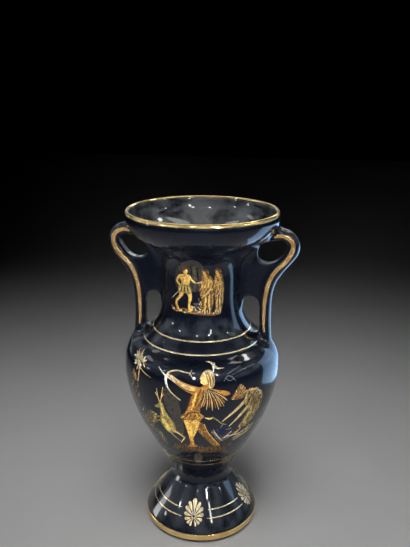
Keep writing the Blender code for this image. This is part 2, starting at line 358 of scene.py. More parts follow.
def outline_distance(points: np.ndarray, outline: np.ndarray) -> np.ndarray:
    """Signed distance to a closed outline, negative inside it."""
    best = np.full(len(points), np.inf)
    inside = np.zeros(len(points), bool)
    for start, end in zip(outline, np.roll(outline, -1, axis=0)):
        edge, to = end - start, points - start
        t = np.clip(to @ edge / max(edge @ edge, 1e-12), 0.0, 1.0)
        best = np.minimum(best, np.hypot(to[:, 0] - t * edge[0], to[:, 1] - t * edge[1]))
        if abs(edge[1]) > 1e-9:
            spans = (start[1] > points[:, 1]) != (end[1] > points[:, 1])
            inside ^= spans & (to[:, 0] < to[:, 1] * edge[0] / edge[1])
    return np.where(inside, -best, best)


class Chart:
    """A measure worked out once on a fine grid of a plane and then read back anywhere on it."""

    spacing = 0.16

    def __init__(self, measure: Callable[[np.ndarray], np.ndarray], low: Pair, high: Pair) -> None:
        """Measure every point of the grid.

        Args:
            measure: gives a value for each point of the plane.
            low: lower left corner of the grid.
            high: upper right corner of the grid.
        """
        self.low = np.array(low)
        self.counts = ((np.array(high) - self.low) / self.spacing).astype(int)
        x, y = (np.arange(n + 1) * self.spacing + start for n, start in zip(self.counts, low))
        grid = np.stack(np.meshgrid(x, y, indexing="ij"), axis=-1).reshape(-1, 2)
        self.values = measure(grid).reshape(len(x), len(y))

    def read(self, x: np.ndarray, y: np.ndarray) -> np.ndarray:
        """Values between the grid's points; a place outside reads as the nearest edge."""
        place = (np.stack([x, y]).T - self.low) / self.spacing
        place = np.clip(place, 0.0, self.counts - 1e-6)
        cell = place.astype(int)
        (i, j), (u, v) = cell.T, (place - cell).T
        grid = self.values
        return ((grid[i, j] * (1 - v) + grid[i, j + 1] * v) * (1 - u)
                + (grid[i + 1, j] * (1 - v) + grid[i + 1, j + 1] * v) * u)


def soft_union(a: np.ndarray, b: np.ndarray, reach: float) -> np.ndarray:
    """The nearer of two distances, blended where they differ by less than reach, as a fillet."""
    share = np.maximum(reach - np.abs(a - b), 0.0) / reach
    return np.minimum(a, b) - share ** 2 * reach / 4


class GlazedForm:
    """How far points lie outside the glazed surface, so that meshes and films settle on it exactly."""

    web_join = 2.2
    pot_join = 6.5
    plane_low: Pair = (20.0, 125.0)
    plane_high: Pair = (76.0, 248.0)
    section_reach = 16.0
    flare_step = 0.3
    slope_step = 0.12

    def __init__(self, pot: PotOutline, handle: HandleShape) -> None:
        """Keep fine outlines of the pot and of a handle.

        Args:
            pot: the turned pot.
            handle: the shape that both handles share.
        """
        side = pot.side(0.5)[::-1]
        self.heights, self.radii = side[:, 1], side[:, 0]
        low, high, far = self.plane_low, self.plane_high, self.section_reach
        line, section, web = handle.line(0.8), handle.section(9), handle.web()
        self.off_line = Chart(lambda points: line_distance(points, line), low, high)
        self.off_web = Chart(lambda points: outline_distance(points, web), low, high)
        self.off_section = Chart(lambda points: outline_distance(points, section), (-far, -far),
                                 (far, far))
        self.web_half = handle.web_thickness / 2
        self.web_round = handle.web_edge_round

    def radius(self, z: np.ndarray) -> np.ndarray:
        """Outer radius of the pot at a height."""
        return np.interp(z, self.heights, self.radii)

    def flare(self, z: np.ndarray) -> np.ndarray:
        """How fast the outer radius grows with height."""
        step = self.flare_step
        return (self.radius(z + step) - self.radius(z - step)) / (2 * step)

    def pot_distance(self, points: np.ndarray) -> np.ndarray:
        """Distance outside the turned pot."""
        z = points[:, 2]
        return ((np.hypot(points[:, 0], points[:, 1]) - self.radius(z))
                / np.sqrt(1 + self.flare(z) ** 2))

    def handle_distance(self, points: np.ndarray) -> np.ndarray:
        """Distance outside the nearer handle, strap and web together."""
        away, across, up = np.abs(points[:, 0]), points[:, 1], points[:, 2]
        strap = self.off_section.read(self.off_line.read(away, up), across)
        outside = self.off_web.read(away, up) + self.web_round
        deep = np.abs(across) - self.web_half + self.web_round
        web = (np.hypot(np.maximum(outside, 0), np.maximum(deep, 0))
               + np.minimum(np.maximum(outside, deep), 0) - self.web_round)
        return soft_union(strap, web, self.web_join)

    def distance(self, points: np.ndarray) -> np.ndarray:
        """Distance outside the whole vase, its joins filled by soft fillets."""
        return soft_union(self.pot_distance(points), self.handle_distance(points), self.pot_join)

    def slope(self, distance: Callable[[np.ndarray], np.ndarray], points: np.ndarray) -> np.ndarray:
        """Direction and rate in which a distance grows."""
        step = self.slope_step
        out = np.empty_like(points)
        for axis in range(3):
            move = np.zeros(3)
            move[axis] = step
            out[:, axis] = (distance(points + move) - distance(points - move)) / (2 * step)
        return out

    def settle(self, points: np.ndarray, height: np.ndarray | float = 0.0, rounds: int = 3,
               distance: Callable[[np.ndarray], np.ndarray] | None = None) -> np.ndarray:
        """Move points square to the surface until they lie at a height over it.

        Args:
            points: points near the surface, in mm.
            height: height over the surface, one for all or one for each.
            rounds: how many times to correct.
            distance: another distance to settle on, instead of the whole vase's.

        Returns:
            The moved points.
        """
        distance = distance or self.distance
        for _ in range(rounds):
            slope = self.slope(distance, points)
            steep = np.maximum((slope ** 2).sum(1), 0.25)
            points = points - ((distance(points) - height) / steep)[:, None] * slope
        return points


def new_object(name: str, mesh: bpy.types.Mesh) -> bpy.types.Object:
    """Link a mesh to the scene as an object at the origin."""
    item = bpy.data.objects.new(name, mesh)
    bpy.context.scene.collection.objects.link(item)
    return item


def evaluated(item: bpy.types.Object) -> bpy.types.Mesh:
    """The mesh that an object's modifiers give."""
    graph = bpy.context.evaluated_depsgraph_get()
    return bpy.data.meshes.new_from_object(item.evaluated_get(graph))


def coordinates(mesh: bpy.types.Mesh) -> np.ndarray:
    """A mesh's points in mm."""
    points = np.empty(len(mesh.vertices) * 3)
    mesh.vertices.foreach_get("co", points)
    return points.reshape(-1, 3) / MM


def move_to(mesh: bpy.types.Mesh, points: np.ndarray) -> None:
    """Put a mesh's points in new places, given in mm."""
    mesh.vertices.foreach_set("co", (points * MM).ravel())
    mesh.update()


def to_mesh(shape: bmesh.types.BMesh, name: str) -> bpy.types.Mesh:
    """Finish a bmesh as a smooth-shaded mesh and free it."""
    for face in shape.faces:
        face.smooth = True
    mesh = bpy.data.meshes.new(name)
    shape.to_mesh(mesh)
    shape.free()
    return mesh


def chain(shape: bmesh.types.BMesh, points: Sequence[Sequence[float]],
          closed: bool = False) -> list[bmesh.types.BMEdge]:
    """Join points by edges, in order."""
    corners = [shape.verts.new(p) for p in points]
    pairs = list(zip(corners, corners[1:])) + ([(corners[-1], corners[0])] if closed else [])
    return [shape.edges.new(pair) for pair in pairs]


def turned(outline: np.ndarray, steps: int) -> bmesh.types.BMesh:
    """Spin an outline of (radius, height) in mm a full turn round the Z axis."""
    shape = bmesh.new()
    edges = chain(shape, [(r * MM, 0.0, z * MM) for r, z in outline])
    bmesh.ops.spin(shape, geom=list(shape.verts) + edges, cent=(0, 0, 0), axis=(0, 0, 1),
                   dvec=(0, 0, 0), angle=2 * pi, steps=steps, use_merge=True)
    bmesh.ops.remove_doubles(shape, verts=shape.verts, dist=1e-6)
    bmesh.ops.recalc_face_normals(shape, faces=shape.faces)
    return shape


def swept(shape: bmesh.types.BMesh, edges: list[bmesh.types.BMEdge], places: Sequence[Matrix]) -> None:
    """Carry edges from the first place through all the others, leaving faces behind."""
    for before, after in zip(places, places[1:]):
        grown = bmesh.ops.extrude_edge_only(shape, edges=edges)["geom"]
        fresh = {g for g in grown if isinstance(g, bmesh.types.BMVert)}
        edges = [g for g in grown if isinstance(g, bmesh.types.BMEdge)
                 and g.verts[0] in fresh and g.verts[1] in fresh]
        bmesh.ops.transform(shape, matrix=after @ before.inverted(), verts=list(fresh))


class Nodes:
    """A short way to write a material's node tree."""

    def __init__(self, name: str) -> None:
        """Start a material with its shader.

        Args:
            name: the material's name.
        """
        self.material = bpy.data.materials.new(name)
        self.material.use_nodes = True
        self.tree = self.material.node_tree
        self.shader = self.tree.nodes["Principled BSDF"]
        self.where = self.add("ShaderNodeTexCoord").outputs["Object"]

    def add(self, kind: str, **settings) -> bpy.types.Node:
        """A new node with its settings."""
        node = self.tree.nodes.new(kind)
        for key, value in settings.items():
            setattr(node, key, value)
        return node

    def link(self, source: bpy.types.NodeSocket, node: bpy.types.Node, socket: str | int) -> None:
        """Join an output to an input."""
        self.tree.links.new(source, node.inputs[socket])

    def noise(self, scale: float, detail: float) -> bpy.types.NodeSocket:
        """Noise over Object coordinates, its scale counted per metre."""
        node = self.add("ShaderNodeTexNoise")
        node.inputs["Scale"].default_value = scale
        node.inputs["Detail"].default_value = detail
        self.link(self.where, node, "Vector")
        return node.outputs["Fac"]

    def spread(self, source: bpy.types.NodeSocket, low: float, high: float,
               to_low: float, to_high: float) -> bpy.types.NodeSocket:
        """A value mapped from one range to another and kept inside it."""
        node = self.add("ShaderNodeMapRange")
        for socket, value in zip(("From Min", "From Max", "To Min", "To Max"),
                                 (low, high, to_low, to_high)):
            node.inputs[socket].default_value = value
        self.link(source, node, "Value")
        return node.outputs["Result"]

    def ramp(self, source: bpy.types.NodeSocket, *stops: tuple[float, Triple],
             ) -> bpy.types.NodeSocket:
        """Colours along a value."""
        node = self.add("ShaderNodeValToRGB")
        points = node.color_ramp.elements
        for index, (place, colour) in enumerate(stops):
            point = points[index] if index < 2 else points.new(place)
            point.position = place
            point.color = (*colour, 1.0)
        self.link(source, node, "Fac")
        return node.outputs["Color"]

    def bump(self, source: bpy.types.NodeSocket, depth: float,
             under: bpy.types.NodeSocket | None = None) -> bpy.types.NodeSocket:
        """Raise the surface by a value, its depth in metres."""
        node = self.add("ShaderNodeBump")
        node.inputs["Distance"].default_value = depth
        self.link(source, node, "Height")
        if under is not None:
            self.link(under, node, "Normal")
        return node.outputs["Normal"]

    def tint(self, scale: float, detail: float, *stops: tuple[float, Triple]) -> None:
        """Base colour along a noise."""
        self.link(self.ramp(self.noise(scale, detail), *stops), self.shader, "Base Color")

    def blend(self, kind: str, a: bpy.types.NodeSocket, b: bpy.types.NodeSocket) -> bpy.types.Node:
        """Base colour joined from two."""
        node = self.add("ShaderNodeMix", data_type="RGBA", blend_type=kind)
        self.link(a, node, "A")
        self.link(b, node, "B")
        self.link(node.outputs["Result"], self.shader, "Base Color")
        return node

    def roughen(self, scale: float, detail: float, low: float, high: float,
                span: Pair = (0.3, 0.7)) -> None:
        """Roughness from low to high along a span of a noise."""
        self.link(self.spread(self.noise(scale, detail), *span, low, high), self.shader, "Roughness")

    def grain(self, scale: float, detail: float, depth: float) -> None:
        """A finely uneven surface, its depth in metres."""
        self.link(self.bump(self.noise(scale, detail), depth), self.shader, "Normal")

    def set(self, **values: float | tuple[float, ...]) -> None:
        """Constants set straight on the shader's sockets."""
        for key, value in values.items():
            socket = key.replace("_", " ").title().replace("Ior", "IOR")
            self.shader.inputs[socket].default_value = value


@dataclass(frozen=True)
class BlackGlaze:
    """Thick glossy glaze, near black with a blue cast, its surface very slightly uneven."""

    name: str = "black_glaze"
    deep: Triple = (0.0016, 0.0024, 0.0056)
    thin: Triple = (0.0030, 0.0044, 0.0090)
    dust_and_sheen: Triple = (0.15, 0.155, 0.155)
    dust_and_sheen_attribute: str = "dust_and_sheen"
    smooth: float = 0.20
    hazy: float = 0.42

    def material(self) -> bpy.types.Material:
        """Build the material."""
        n = Nodes(self.name)
        n.set(ior=1.22, coat_weight=1.0, coat_roughness=0.045, coat_ior=1.47)
        glaze = n.ramp(n.noise(28.0, 3.0), (0.35, self.deep), (0.7, self.thin))
        # Grey smears inside the mouth: partly dust, partly a painted sheen of the light that falls into
        # it, fading down the neck.
        dust_and_sheen_smears = n.ramp(n.noise(48.0, 7.0), (0.43, (0.0, 0.0, 0.0)), (0.62, self.dust_and_sheen))
        dust_and_sheen_share = n.add("ShaderNodeAttribute", attribute_name=self.dust_and_sheen_attribute)
        n.link(dust_and_sheen_share.outputs["Fac"], n.blend("ADD", glaze, dust_and_sheen_smears), "Factor")
        n.roughen(75.0, 4.0, self.smooth, self.hazy, (0.35, 0.75))
        waves = n.bump(n.noise(42.0, 2.0), 0.00016)
        surface = n.bump(n.noise(1500.0, 1.0), 0.000003, waves)
        n.link(surface, n.shader, "Normal")
        n.link(surface, n.shader, "Coat Normal")
        return n.material


@dataclass(frozen=True)
class GoldLustre:
    """Thin fired gold: bright metal with fine brush streaks and slightly browner places."""

    name: str = "gold_lustre"
    bright: Triple = (0.97, 0.70, 0.29)
    worn: Triple = (0.80, 0.50, 0.17)
    metallic: float = 0.92
    smooth: float = 0.09
    hazy: float = 0.22

    def material(self) -> bpy.types.Material:
        """Build the material."""
        n = Nodes(self.name)
        n.set(metallic=self.metallic)
        n.tint(150.0, 5.0, (0.36, self.worn), (0.62, self.bright))
        n.roughen(160.0, 4.0, self.smooth, self.hazy)
        n.grain(900.0, 2.0, 0.000006)
        return n.material


@dataclass(frozen=True)
class PictureEnamel:
    """Warm enamel that takes each stroke's own colour, mottled as a fired print is."""

    name: str = "painted_figures"
    attribute: str = "tint"

    def material(self) -> bpy.types.Material:
        """Build the material."""
        n = Nodes(self.name)
        n.set(metallic=0.35, ior=1.5)
        tint = n.add("ShaderNodeAttribute", attribute_name=self.attribute)
        mottle = n.ramp(n.noise(800.0, 5.0), (0.30, (0.50, 0.45, 0.40)), (0.43, (0.82, 0.78, 0.72)),
                        (0.55, (1.0, 0.98, 0.95)), (0.70, (1.40, 1.32, 1.20)))
        n.blend("MULTIPLY", tint.outputs["Color"], mottle).inputs["Factor"].default_value = 1.0
        n.roughen(300.0, 3.0, 0.22, 0.42)
        n.grain(1100.0, 3.0, 0.00002)
        return n.material


@dataclass(frozen=True)
class BareClay:
    """Unglazed pale clay on the standing ring."""

    name: str = "bare_clay"
    pale: Triple = (0.60, 0.50, 0.40)
    stained: Triple = (0.36, 0.28, 0.21)

    def material(self) -> bpy.types.Material:
        """Build the material."""
        n = Nodes(self.name)
        n.tint(240.0, 6.0, (0.38, self.stained), (0.6, self.pale))
        n.roughen(500.0, 4.0, 0.75, 0.95)
        n.grain(1800.0, 4.0, 0.00008)
        return n.material


@dataclass(frozen=True)
class PaleFloor:
    """Plain pale grey board under the vase."""

    name: str = "pale_floor"
    pale: Triple = (0.43, 0.43, 0.43)
    dim: Triple = (0.40, 0.40, 0.40)

    def material(self) -> bpy.types.Material:
        """Build the material."""
        n = Nodes(self.name)
        n.set(specular_ior_level=0.0)
        n.tint(9.0, 4.0, (0.3, self.dim), (0.7, self.pale))
        n.roughen(30.0, 3.0, 0.55, 0.7)
        return n.material


@dataclass
class Vase:
    """The glazed pot with its two handles, one closed mesh."""

    pot: PotOutline
    handle: HandleShape
    form: GlazedForm
    turn_steps: int = 200
    pot_spacing: float = 1.5
    handle_voxel: float = 0.62
    root_depth: float = 2.0
    dust_and_sheen_fade: float = 30.0
    root_box: Triple = (24.0, 16.0, 130.0)
    root_skin: float = 0.4
    settle_rounds: int = 2
    smooth_rounds: int = 3
    strap_spacing: float = 1.5
    plug_rise: float = 8.0
    ring_depth: float = 0.2

    def handle_mesh(self) -> bpy.types.Mesh:
        """One handle on the +X side: strap and web run together, smoothed and settled on their form."""
        shape = bmesh.new()
        line = self.handle.line(self.strap_spacing)
        along = np.gradient(line, axis=0)
        along /= np.linalg.norm(along, axis=1)[:, None]
        places = []
        for (s, z), (ds, dz) in zip(line, along):
            places.append(Matrix(((-dz, 0, -ds, s), (0, 1, 0, 0), (ds, 0, -dz, z), (0, 0, 0, 1))))
        section = self.handle.section(5)
        ring = [places[0] @ Vector((u, w, 0.0)) for u, w in section]
        swept(shape, chain(shape, ring, closed=True), places)
        bmesh.ops.holes_fill(shape, edges=[e for e in shape.edges if e.is_boundary])
        half = self.handle.web_thickness / 2
        plate = bmesh.ops.contextual_create(
            shape, geom=chain(shape, [(s, -half, z) for s, z in self.handle.web()], closed=True))["faces"]
        grown = bmesh.ops.extrude_face_region(shape, geom=plate)["geom"]
        bmesh.ops.translate(shape, vec=(0.0, 2 * half, 0.0),
                            verts=[g for g in grown if isinstance(g, bmesh.types.BMVert)])
        bmesh.ops.recalc_face_normals(shape, faces=shape.faces)
        bmesh.ops.scale(shape, vec=(MM, MM, MM), verts=shape.verts)
        raw = new_object("handle_raw", to_mesh(shape, "handle_raw"))
        remesh = raw.modifiers.new("One skin", "REMESH")
        remesh.mode = "VOXEL"
        remesh.voxel_size = self.handle_voxel * MM
        mesh = evaluated(raw)
        bpy.data.objects.remove(raw, do_unlink=True)
        for _ in range(self.settle_rounds):
            shape = bmesh.new()
            shape.from_mesh(mesh)
            for _ in range(self.smooth_rounds):
                bmesh.ops.smooth_vert(shape, verts=shape.verts, factor=0.5, use_axis_x=True,
                                      use_axis_y=True, use_axis_z=True)
            shape.to_mesh(mesh)
            shape.free()
            move_to(mesh, self.form.settle(coordinates(mesh), distance=self.form.handle_distance))
        return mesh

    def plug(self) -> bpy.types.Object:
        """A turned solid that ends inside the pot's wall, where the handles' roots stop."""
        side = inset(self.pot.side(2.0), self.root_depth)
        side = side[side[:, 1] > self.pot.waist[1]]
        top = self.pot.rim[1] + self.plug_rise
        outline = np.vstack([[[0.0, top], [side[0, 0], top]], side, [[0.0, side[-1, 1]]]])
        return new_object("root_plug", to_mesh(turned(outline, self.turn_steps), "root_plug"))

    @staticmethod
    def combine(item: bpy.types.Object, operation: str, other: bpy.types.Object) -> None:
        """Add a Boolean step."""
        step = item.modifiers.new(operation, "BOOLEAN")
        step.operation = operation
        step.solver = "MANIFOLD"
        step.object = other

    def build(self, glaze: bpy.types.Material, clay: bpy.types.Material) -> bpy.types.Object:
        """Join pot and handles and soften the joins.

        Args:
            glaze: finish of the whole surface.
            clay: finish of the flat standing ring.

        Returns:
            The vase.
        """
        pot = new_object("pot_turned", to_mesh(turned(self.pot.whole(self.pot_spacing),
                                                      self.turn_steps), "pot_turned"))
        plug = self.plug()
        right = self.handle_mesh()
        left = right.copy()
        left.transform(Matrix.Rotation(pi, 4, "Z"))
        helpers = [plug]
        for mesh in (right, left):
            handle = new_object("handle_part", mesh)
            self.combine(handle, "DIFFERENCE", plug)
            self.combine(pot, "UNION", handle)
            helpers.append(handle)
        mesh = evaluated(pot)
        mesh.name = "glazed_vase"
        vase = new_object("glazed_vase", mesh)
        for helper in helpers + [pot]:
            bpy.data.objects.remove(helper, do_unlink=True)
        self.soften(mesh)
        mesh.materials.clear()
        mesh.materials.append(glaze)
        mesh.materials.append(clay)
        for face in mesh.polygons:
            face.use_smooth = True
            low = all(mesh.vertices[v].co.z < self.ring_depth * MM for v in face.vertices)
            face.material_index = int(low)
        self.dust_and_sheen(mesh)
        return vase

    def dust_and_sheen(self, mesh: bpy.types.Mesh) -> None:
        """Mark where dust and a painted sheen lie: inside the mouth, less and less down the neck, as the
        light that falls in fades.
        """
        points = coordinates(mesh)
        inside = self.form.radius(points[:, 2]) - np.hypot(points[:, 0], points[:, 1])
        share = (np.clip((inside - 1.0) / 2.0, 0.0, 1.0)
                 * np.clip((points[:, 2] - self.pot.neck_bottom[1]) / self.dust_and_sheen_fade, 0.0, 1.0))
        layer = mesh.attributes.new(BlackGlaze.dust_and_sheen_attribute, "FLOAT", "POINT")
        layer.data.foreach_set("value", share)

    def soften(self, mesh: bpy.types.Mesh) -> None:
        """Move the points round the handles' roots onto the filleted form."""
        points = coordinates(mesh)
        away, across, bottom = self.root_box
        band = ((np.abs(points[:, 0]) > away) & (np.abs(points[:, 1]) < across)
                & (points[:, 2] > bottom) & (points[:, 2] < self.pot.rim[1] - 1.0))
        band[band] = self.form.pot_distance(points[band]) > -self.root_skin
        near = points[band]
        close = self.form.handle_distance(near) < self.form.pot_join + 1.0
        index = np.nonzero(band)[0][close]
        points[index] = self.form.settle(points[index], rounds=5)
        move_to(mesh, points)


class Drawing:
    """Flat strokes and patches, in mm across and up, that are later laid on the glaze as a film."""

    lowest = 0.05
    level_step = 0.012
    facet = 1.1
    fleck_turn = 28.0

    def __init__(self) -> None:
        """Start an empty drawing."""
        self.sheets: list[bpy.types.Mesh] = []

    def add(self, shape: bmesh.types.BMesh, paint: Paint, level: int) -> None:
        """Keep a flat shape with its paint and level, its faces towards the viewer, and free it."""
        tint = shape.faces.layers.int.new("paint")
        height = shape.verts.layers.float.new("level")
        shape.normal_update()
        bmesh.ops.reverse_faces(shape, faces=[f for f in shape.faces if f.normal.z < 0])
        for face in shape.faces:
            face[tint] = list(Paint).index(paint)
        for vert in shape.verts:
            vert[height] = level
        self.sheets.append(to_mesh(shape, "stroke"))

    def stroke(self, path: Sequence[Pair], widths: Sequence[float], paint: Paint, level: int = 0,
               spacing: float = 0.8) -> None:
        """A tapering stroke with round ends.

        Args:
            path: points that it passes through.
            widths: its width at each point.
            paint: its colour.
            level: which layer of paint it lies on.
            spacing: length of its facets.
        """
        line = smooth_line(path, spacing)
        steps = np.linspace(0.0, len(path) - 1.0, len(line))
        width = np.interp(steps, np.arange(len(path)), widths)
        along = np.gradient(line, axis=0)
        along /= np.maximum(np.linalg.norm(along, axis=1), 1e-9)[:, None]
        ends = []
        for end, sign in ((0, -1.0), (-1, 1.0)):
            half = width[end] / 2
            ends.append([(line[end] + sign * along[end] * half * sin(a), along[end],
                          max(2 * half * cos(a), 0.04))
                         for a in (radians(80), radians(52), radians(26))])
        rows = ends[0] + list(zip(line, along, width)) + ends[1][::-1]
        places = [Matrix(((-d[1] * w, d[0], 0, p[0]), (d[0] * w, d[1], 0, p[1]), (0, 0, 1, 0),
                          (0, 0, 0, 1))) for p, d, w in rows]
        cuts = max(int(max(widths) / self.facet), 1)
        row = [places[0] @ Vector((t, 0.0, 0.0)) for t in np.linspace(0.5, -0.5, cuts + 1)]
        shape = bmesh.new()
        swept(shape, chain(shape, row), places)
        self.add(shape, paint, level)

    def patch(self, outline: Sequence[Pair], paint: Paint, level: int = 0) -> None:
        """A filled patch, its edge a smooth curve through given points.

        Args:
            outline: the points, in order.
            paint: its colour.
            level: which layer of paint it lies on.
        """
        points = smooth_line(outline, 1.0, closed=True)
        shape = bmesh.new()
        edges = chain(shape, [(x, y, 0.0) for x, y in points], closed=True)
        bmesh.ops.triangle_fill(shape, edges=edges, use_beauty=True)
        for _ in range(5):
            long = [e for e in shape.edges if e.calc_length() > 1.4 * self.facet]
            if not long:
                break
            bmesh.ops.subdivide_edges(shape, edges=long, cuts=1)
            bmesh.ops.triangulate(shape, faces=[f for f in shape.faces if len(f.verts) > 3])
        self.add(shape, paint, level)

    def disc(self, centre: Pair, radii: Pair, paint: Paint, level: int = 0) -> None:
        """A filled upright ellipse."""
        self.patch([(centre[0] + radii[0] * cos(a), centre[1] + radii[1] * sin(a))
                    for a in np.linspace(0.0, 2 * pi, 12, endpoint=False)], paint, level)

    def folds(self, top: tuple[Pair, Pair], bottom: tuple[Pair, Pair], paints: Sequence[Paint],
              width: float, level: int, bend: float = 0.0) -> None:
        """Strokes side by side, as folds or hairs, from one line down to another.

        Args:
            top: two ends of the line that they start on.
            bottom: two ends of the line that they reach.
            paints: their colours, from the first end to the last.
            width: of the widest part of each.
            level: which layer of paint they lie on.
            bend: how far their middles stand aside.
        """
        for index, paint in enumerate(paints):
            t = index / max(len(paints) - 1, 1)
            start, end = (np.array(a) * (1 - t) + np.array(b) * t for a, b in (top, bottom))
            middle = (start + end) / 2 + np.array([bend, 0.0])
            self.stroke([tuple(start), tuple(middle), tuple(end)], [width * 0.5, width, width * 0.4],
                        paint, level)

    def flecks(self, outline: Sequence[Pair], paints: Sequence[Paint], level: int, count: int,
               way: float, size: Pair = (2.2, 0.7)) -> None:
        """Short strokes scattered inside an outline, as the grain of a fired print.

        Args:
            outline: the area's corners, in order.
            paints: their colours, in turn.
            level: which layer of paint they lie on.
            count: how many strokes are tried; it also seeds their places.
            way: angle that they lie along, in degrees.
            size: length and width of a stroke.
        """
        chance = np.random.default_rng(count)
        edge = smooth_line(outline, 1.5, closed=True)
        spots = chance.uniform(edge.min(axis=0), edge.max(axis=0), (count, 2))
        turns = np.radians(way + chance.uniform(-self.fleck_turn, self.fleck_turn, count))
        for index in np.nonzero(outline_distance(spots, edge) < -size[1])[0]:
            reach = size[0] / 2 * np.array([cos(turns[index]), sin(turns[index])])
            self.stroke([tuple(spots[index] - reach), tuple(spots[index] + reach)],
                        [size[1] * 0.9, size[1] * 0.5], paints[index % len(paints)], level, spacing=1.2)

    def lines(self, level: int, *paths: Sequence[Pair], width: float = 0.4) -> None:
        """Thin dark drawing lines."""
        for path in paths:
            self.stroke(path, [width * 0.6] + [width] * (len(path) - 2) + [width * 0.5], INK, level,
                        spacing=0.6)

    def lay(self, name: str, place: Place, thickness: float,
            material: bpy.types.Material) -> bpy.types.Object:
        """Turn the drawing into a film on the glaze.

        Args:
            name: the film's name.
            place: gives points in mm from places across and up and heights over the glaze.
            thickness: of the film, which reaches a little into the glaze.
            material: its finish.

        Returns:
            The film.
        """
        whole = bmesh.new()
        for sheet in self.sheets:
            whole.from_mesh(sheet)
        mesh = to_mesh(whole, name)
        flat = coordinates(mesh) * MM
        level = np.empty(len(flat))
        mesh.attributes["level"].data.foreach_get("value", level)
        paint = np.empty(len(mesh.polygons), np.int32)
        mesh.attributes["paint"].data.foreach_get("value", paint)
        move_to(mesh, place(flat[:, 0], flat[:, 1], self.lowest + level * self.level_step))
        colours = np.array([(*p.value, 1.0) for p in Paint])[paint]
        counts = np.empty(len(mesh.polygons), np.int32)
        mesh.polygons.foreach_get("loop_total", counts)
        tint = mesh.color_attributes.new("tint", "FLOAT_COLOR", "CORNER")
        tint.data.foreach_set("color", np.repeat(colours, counts, axis=0).ravel())
        for extra in ("level", "paint"):
            mesh.attributes.remove(mesh.attributes[extra])
        return film(name, mesh, thickness, material)


def film(name: str, mesh: bpy.types.Mesh, thickness: float,
         material: bpy.types.Material) -> bpy.types.Object:
    """Give a laid sheet its thickness, inwards, and its finish."""
    mesh.materials.clear()
    mesh.materials.append(material)
    item = new_object(name, mesh)
    solid = item.modifiers.new("Film", "SOLIDIFY")
    solid.thickness = thickness * MM
    solid.offset = -1.0
    return item


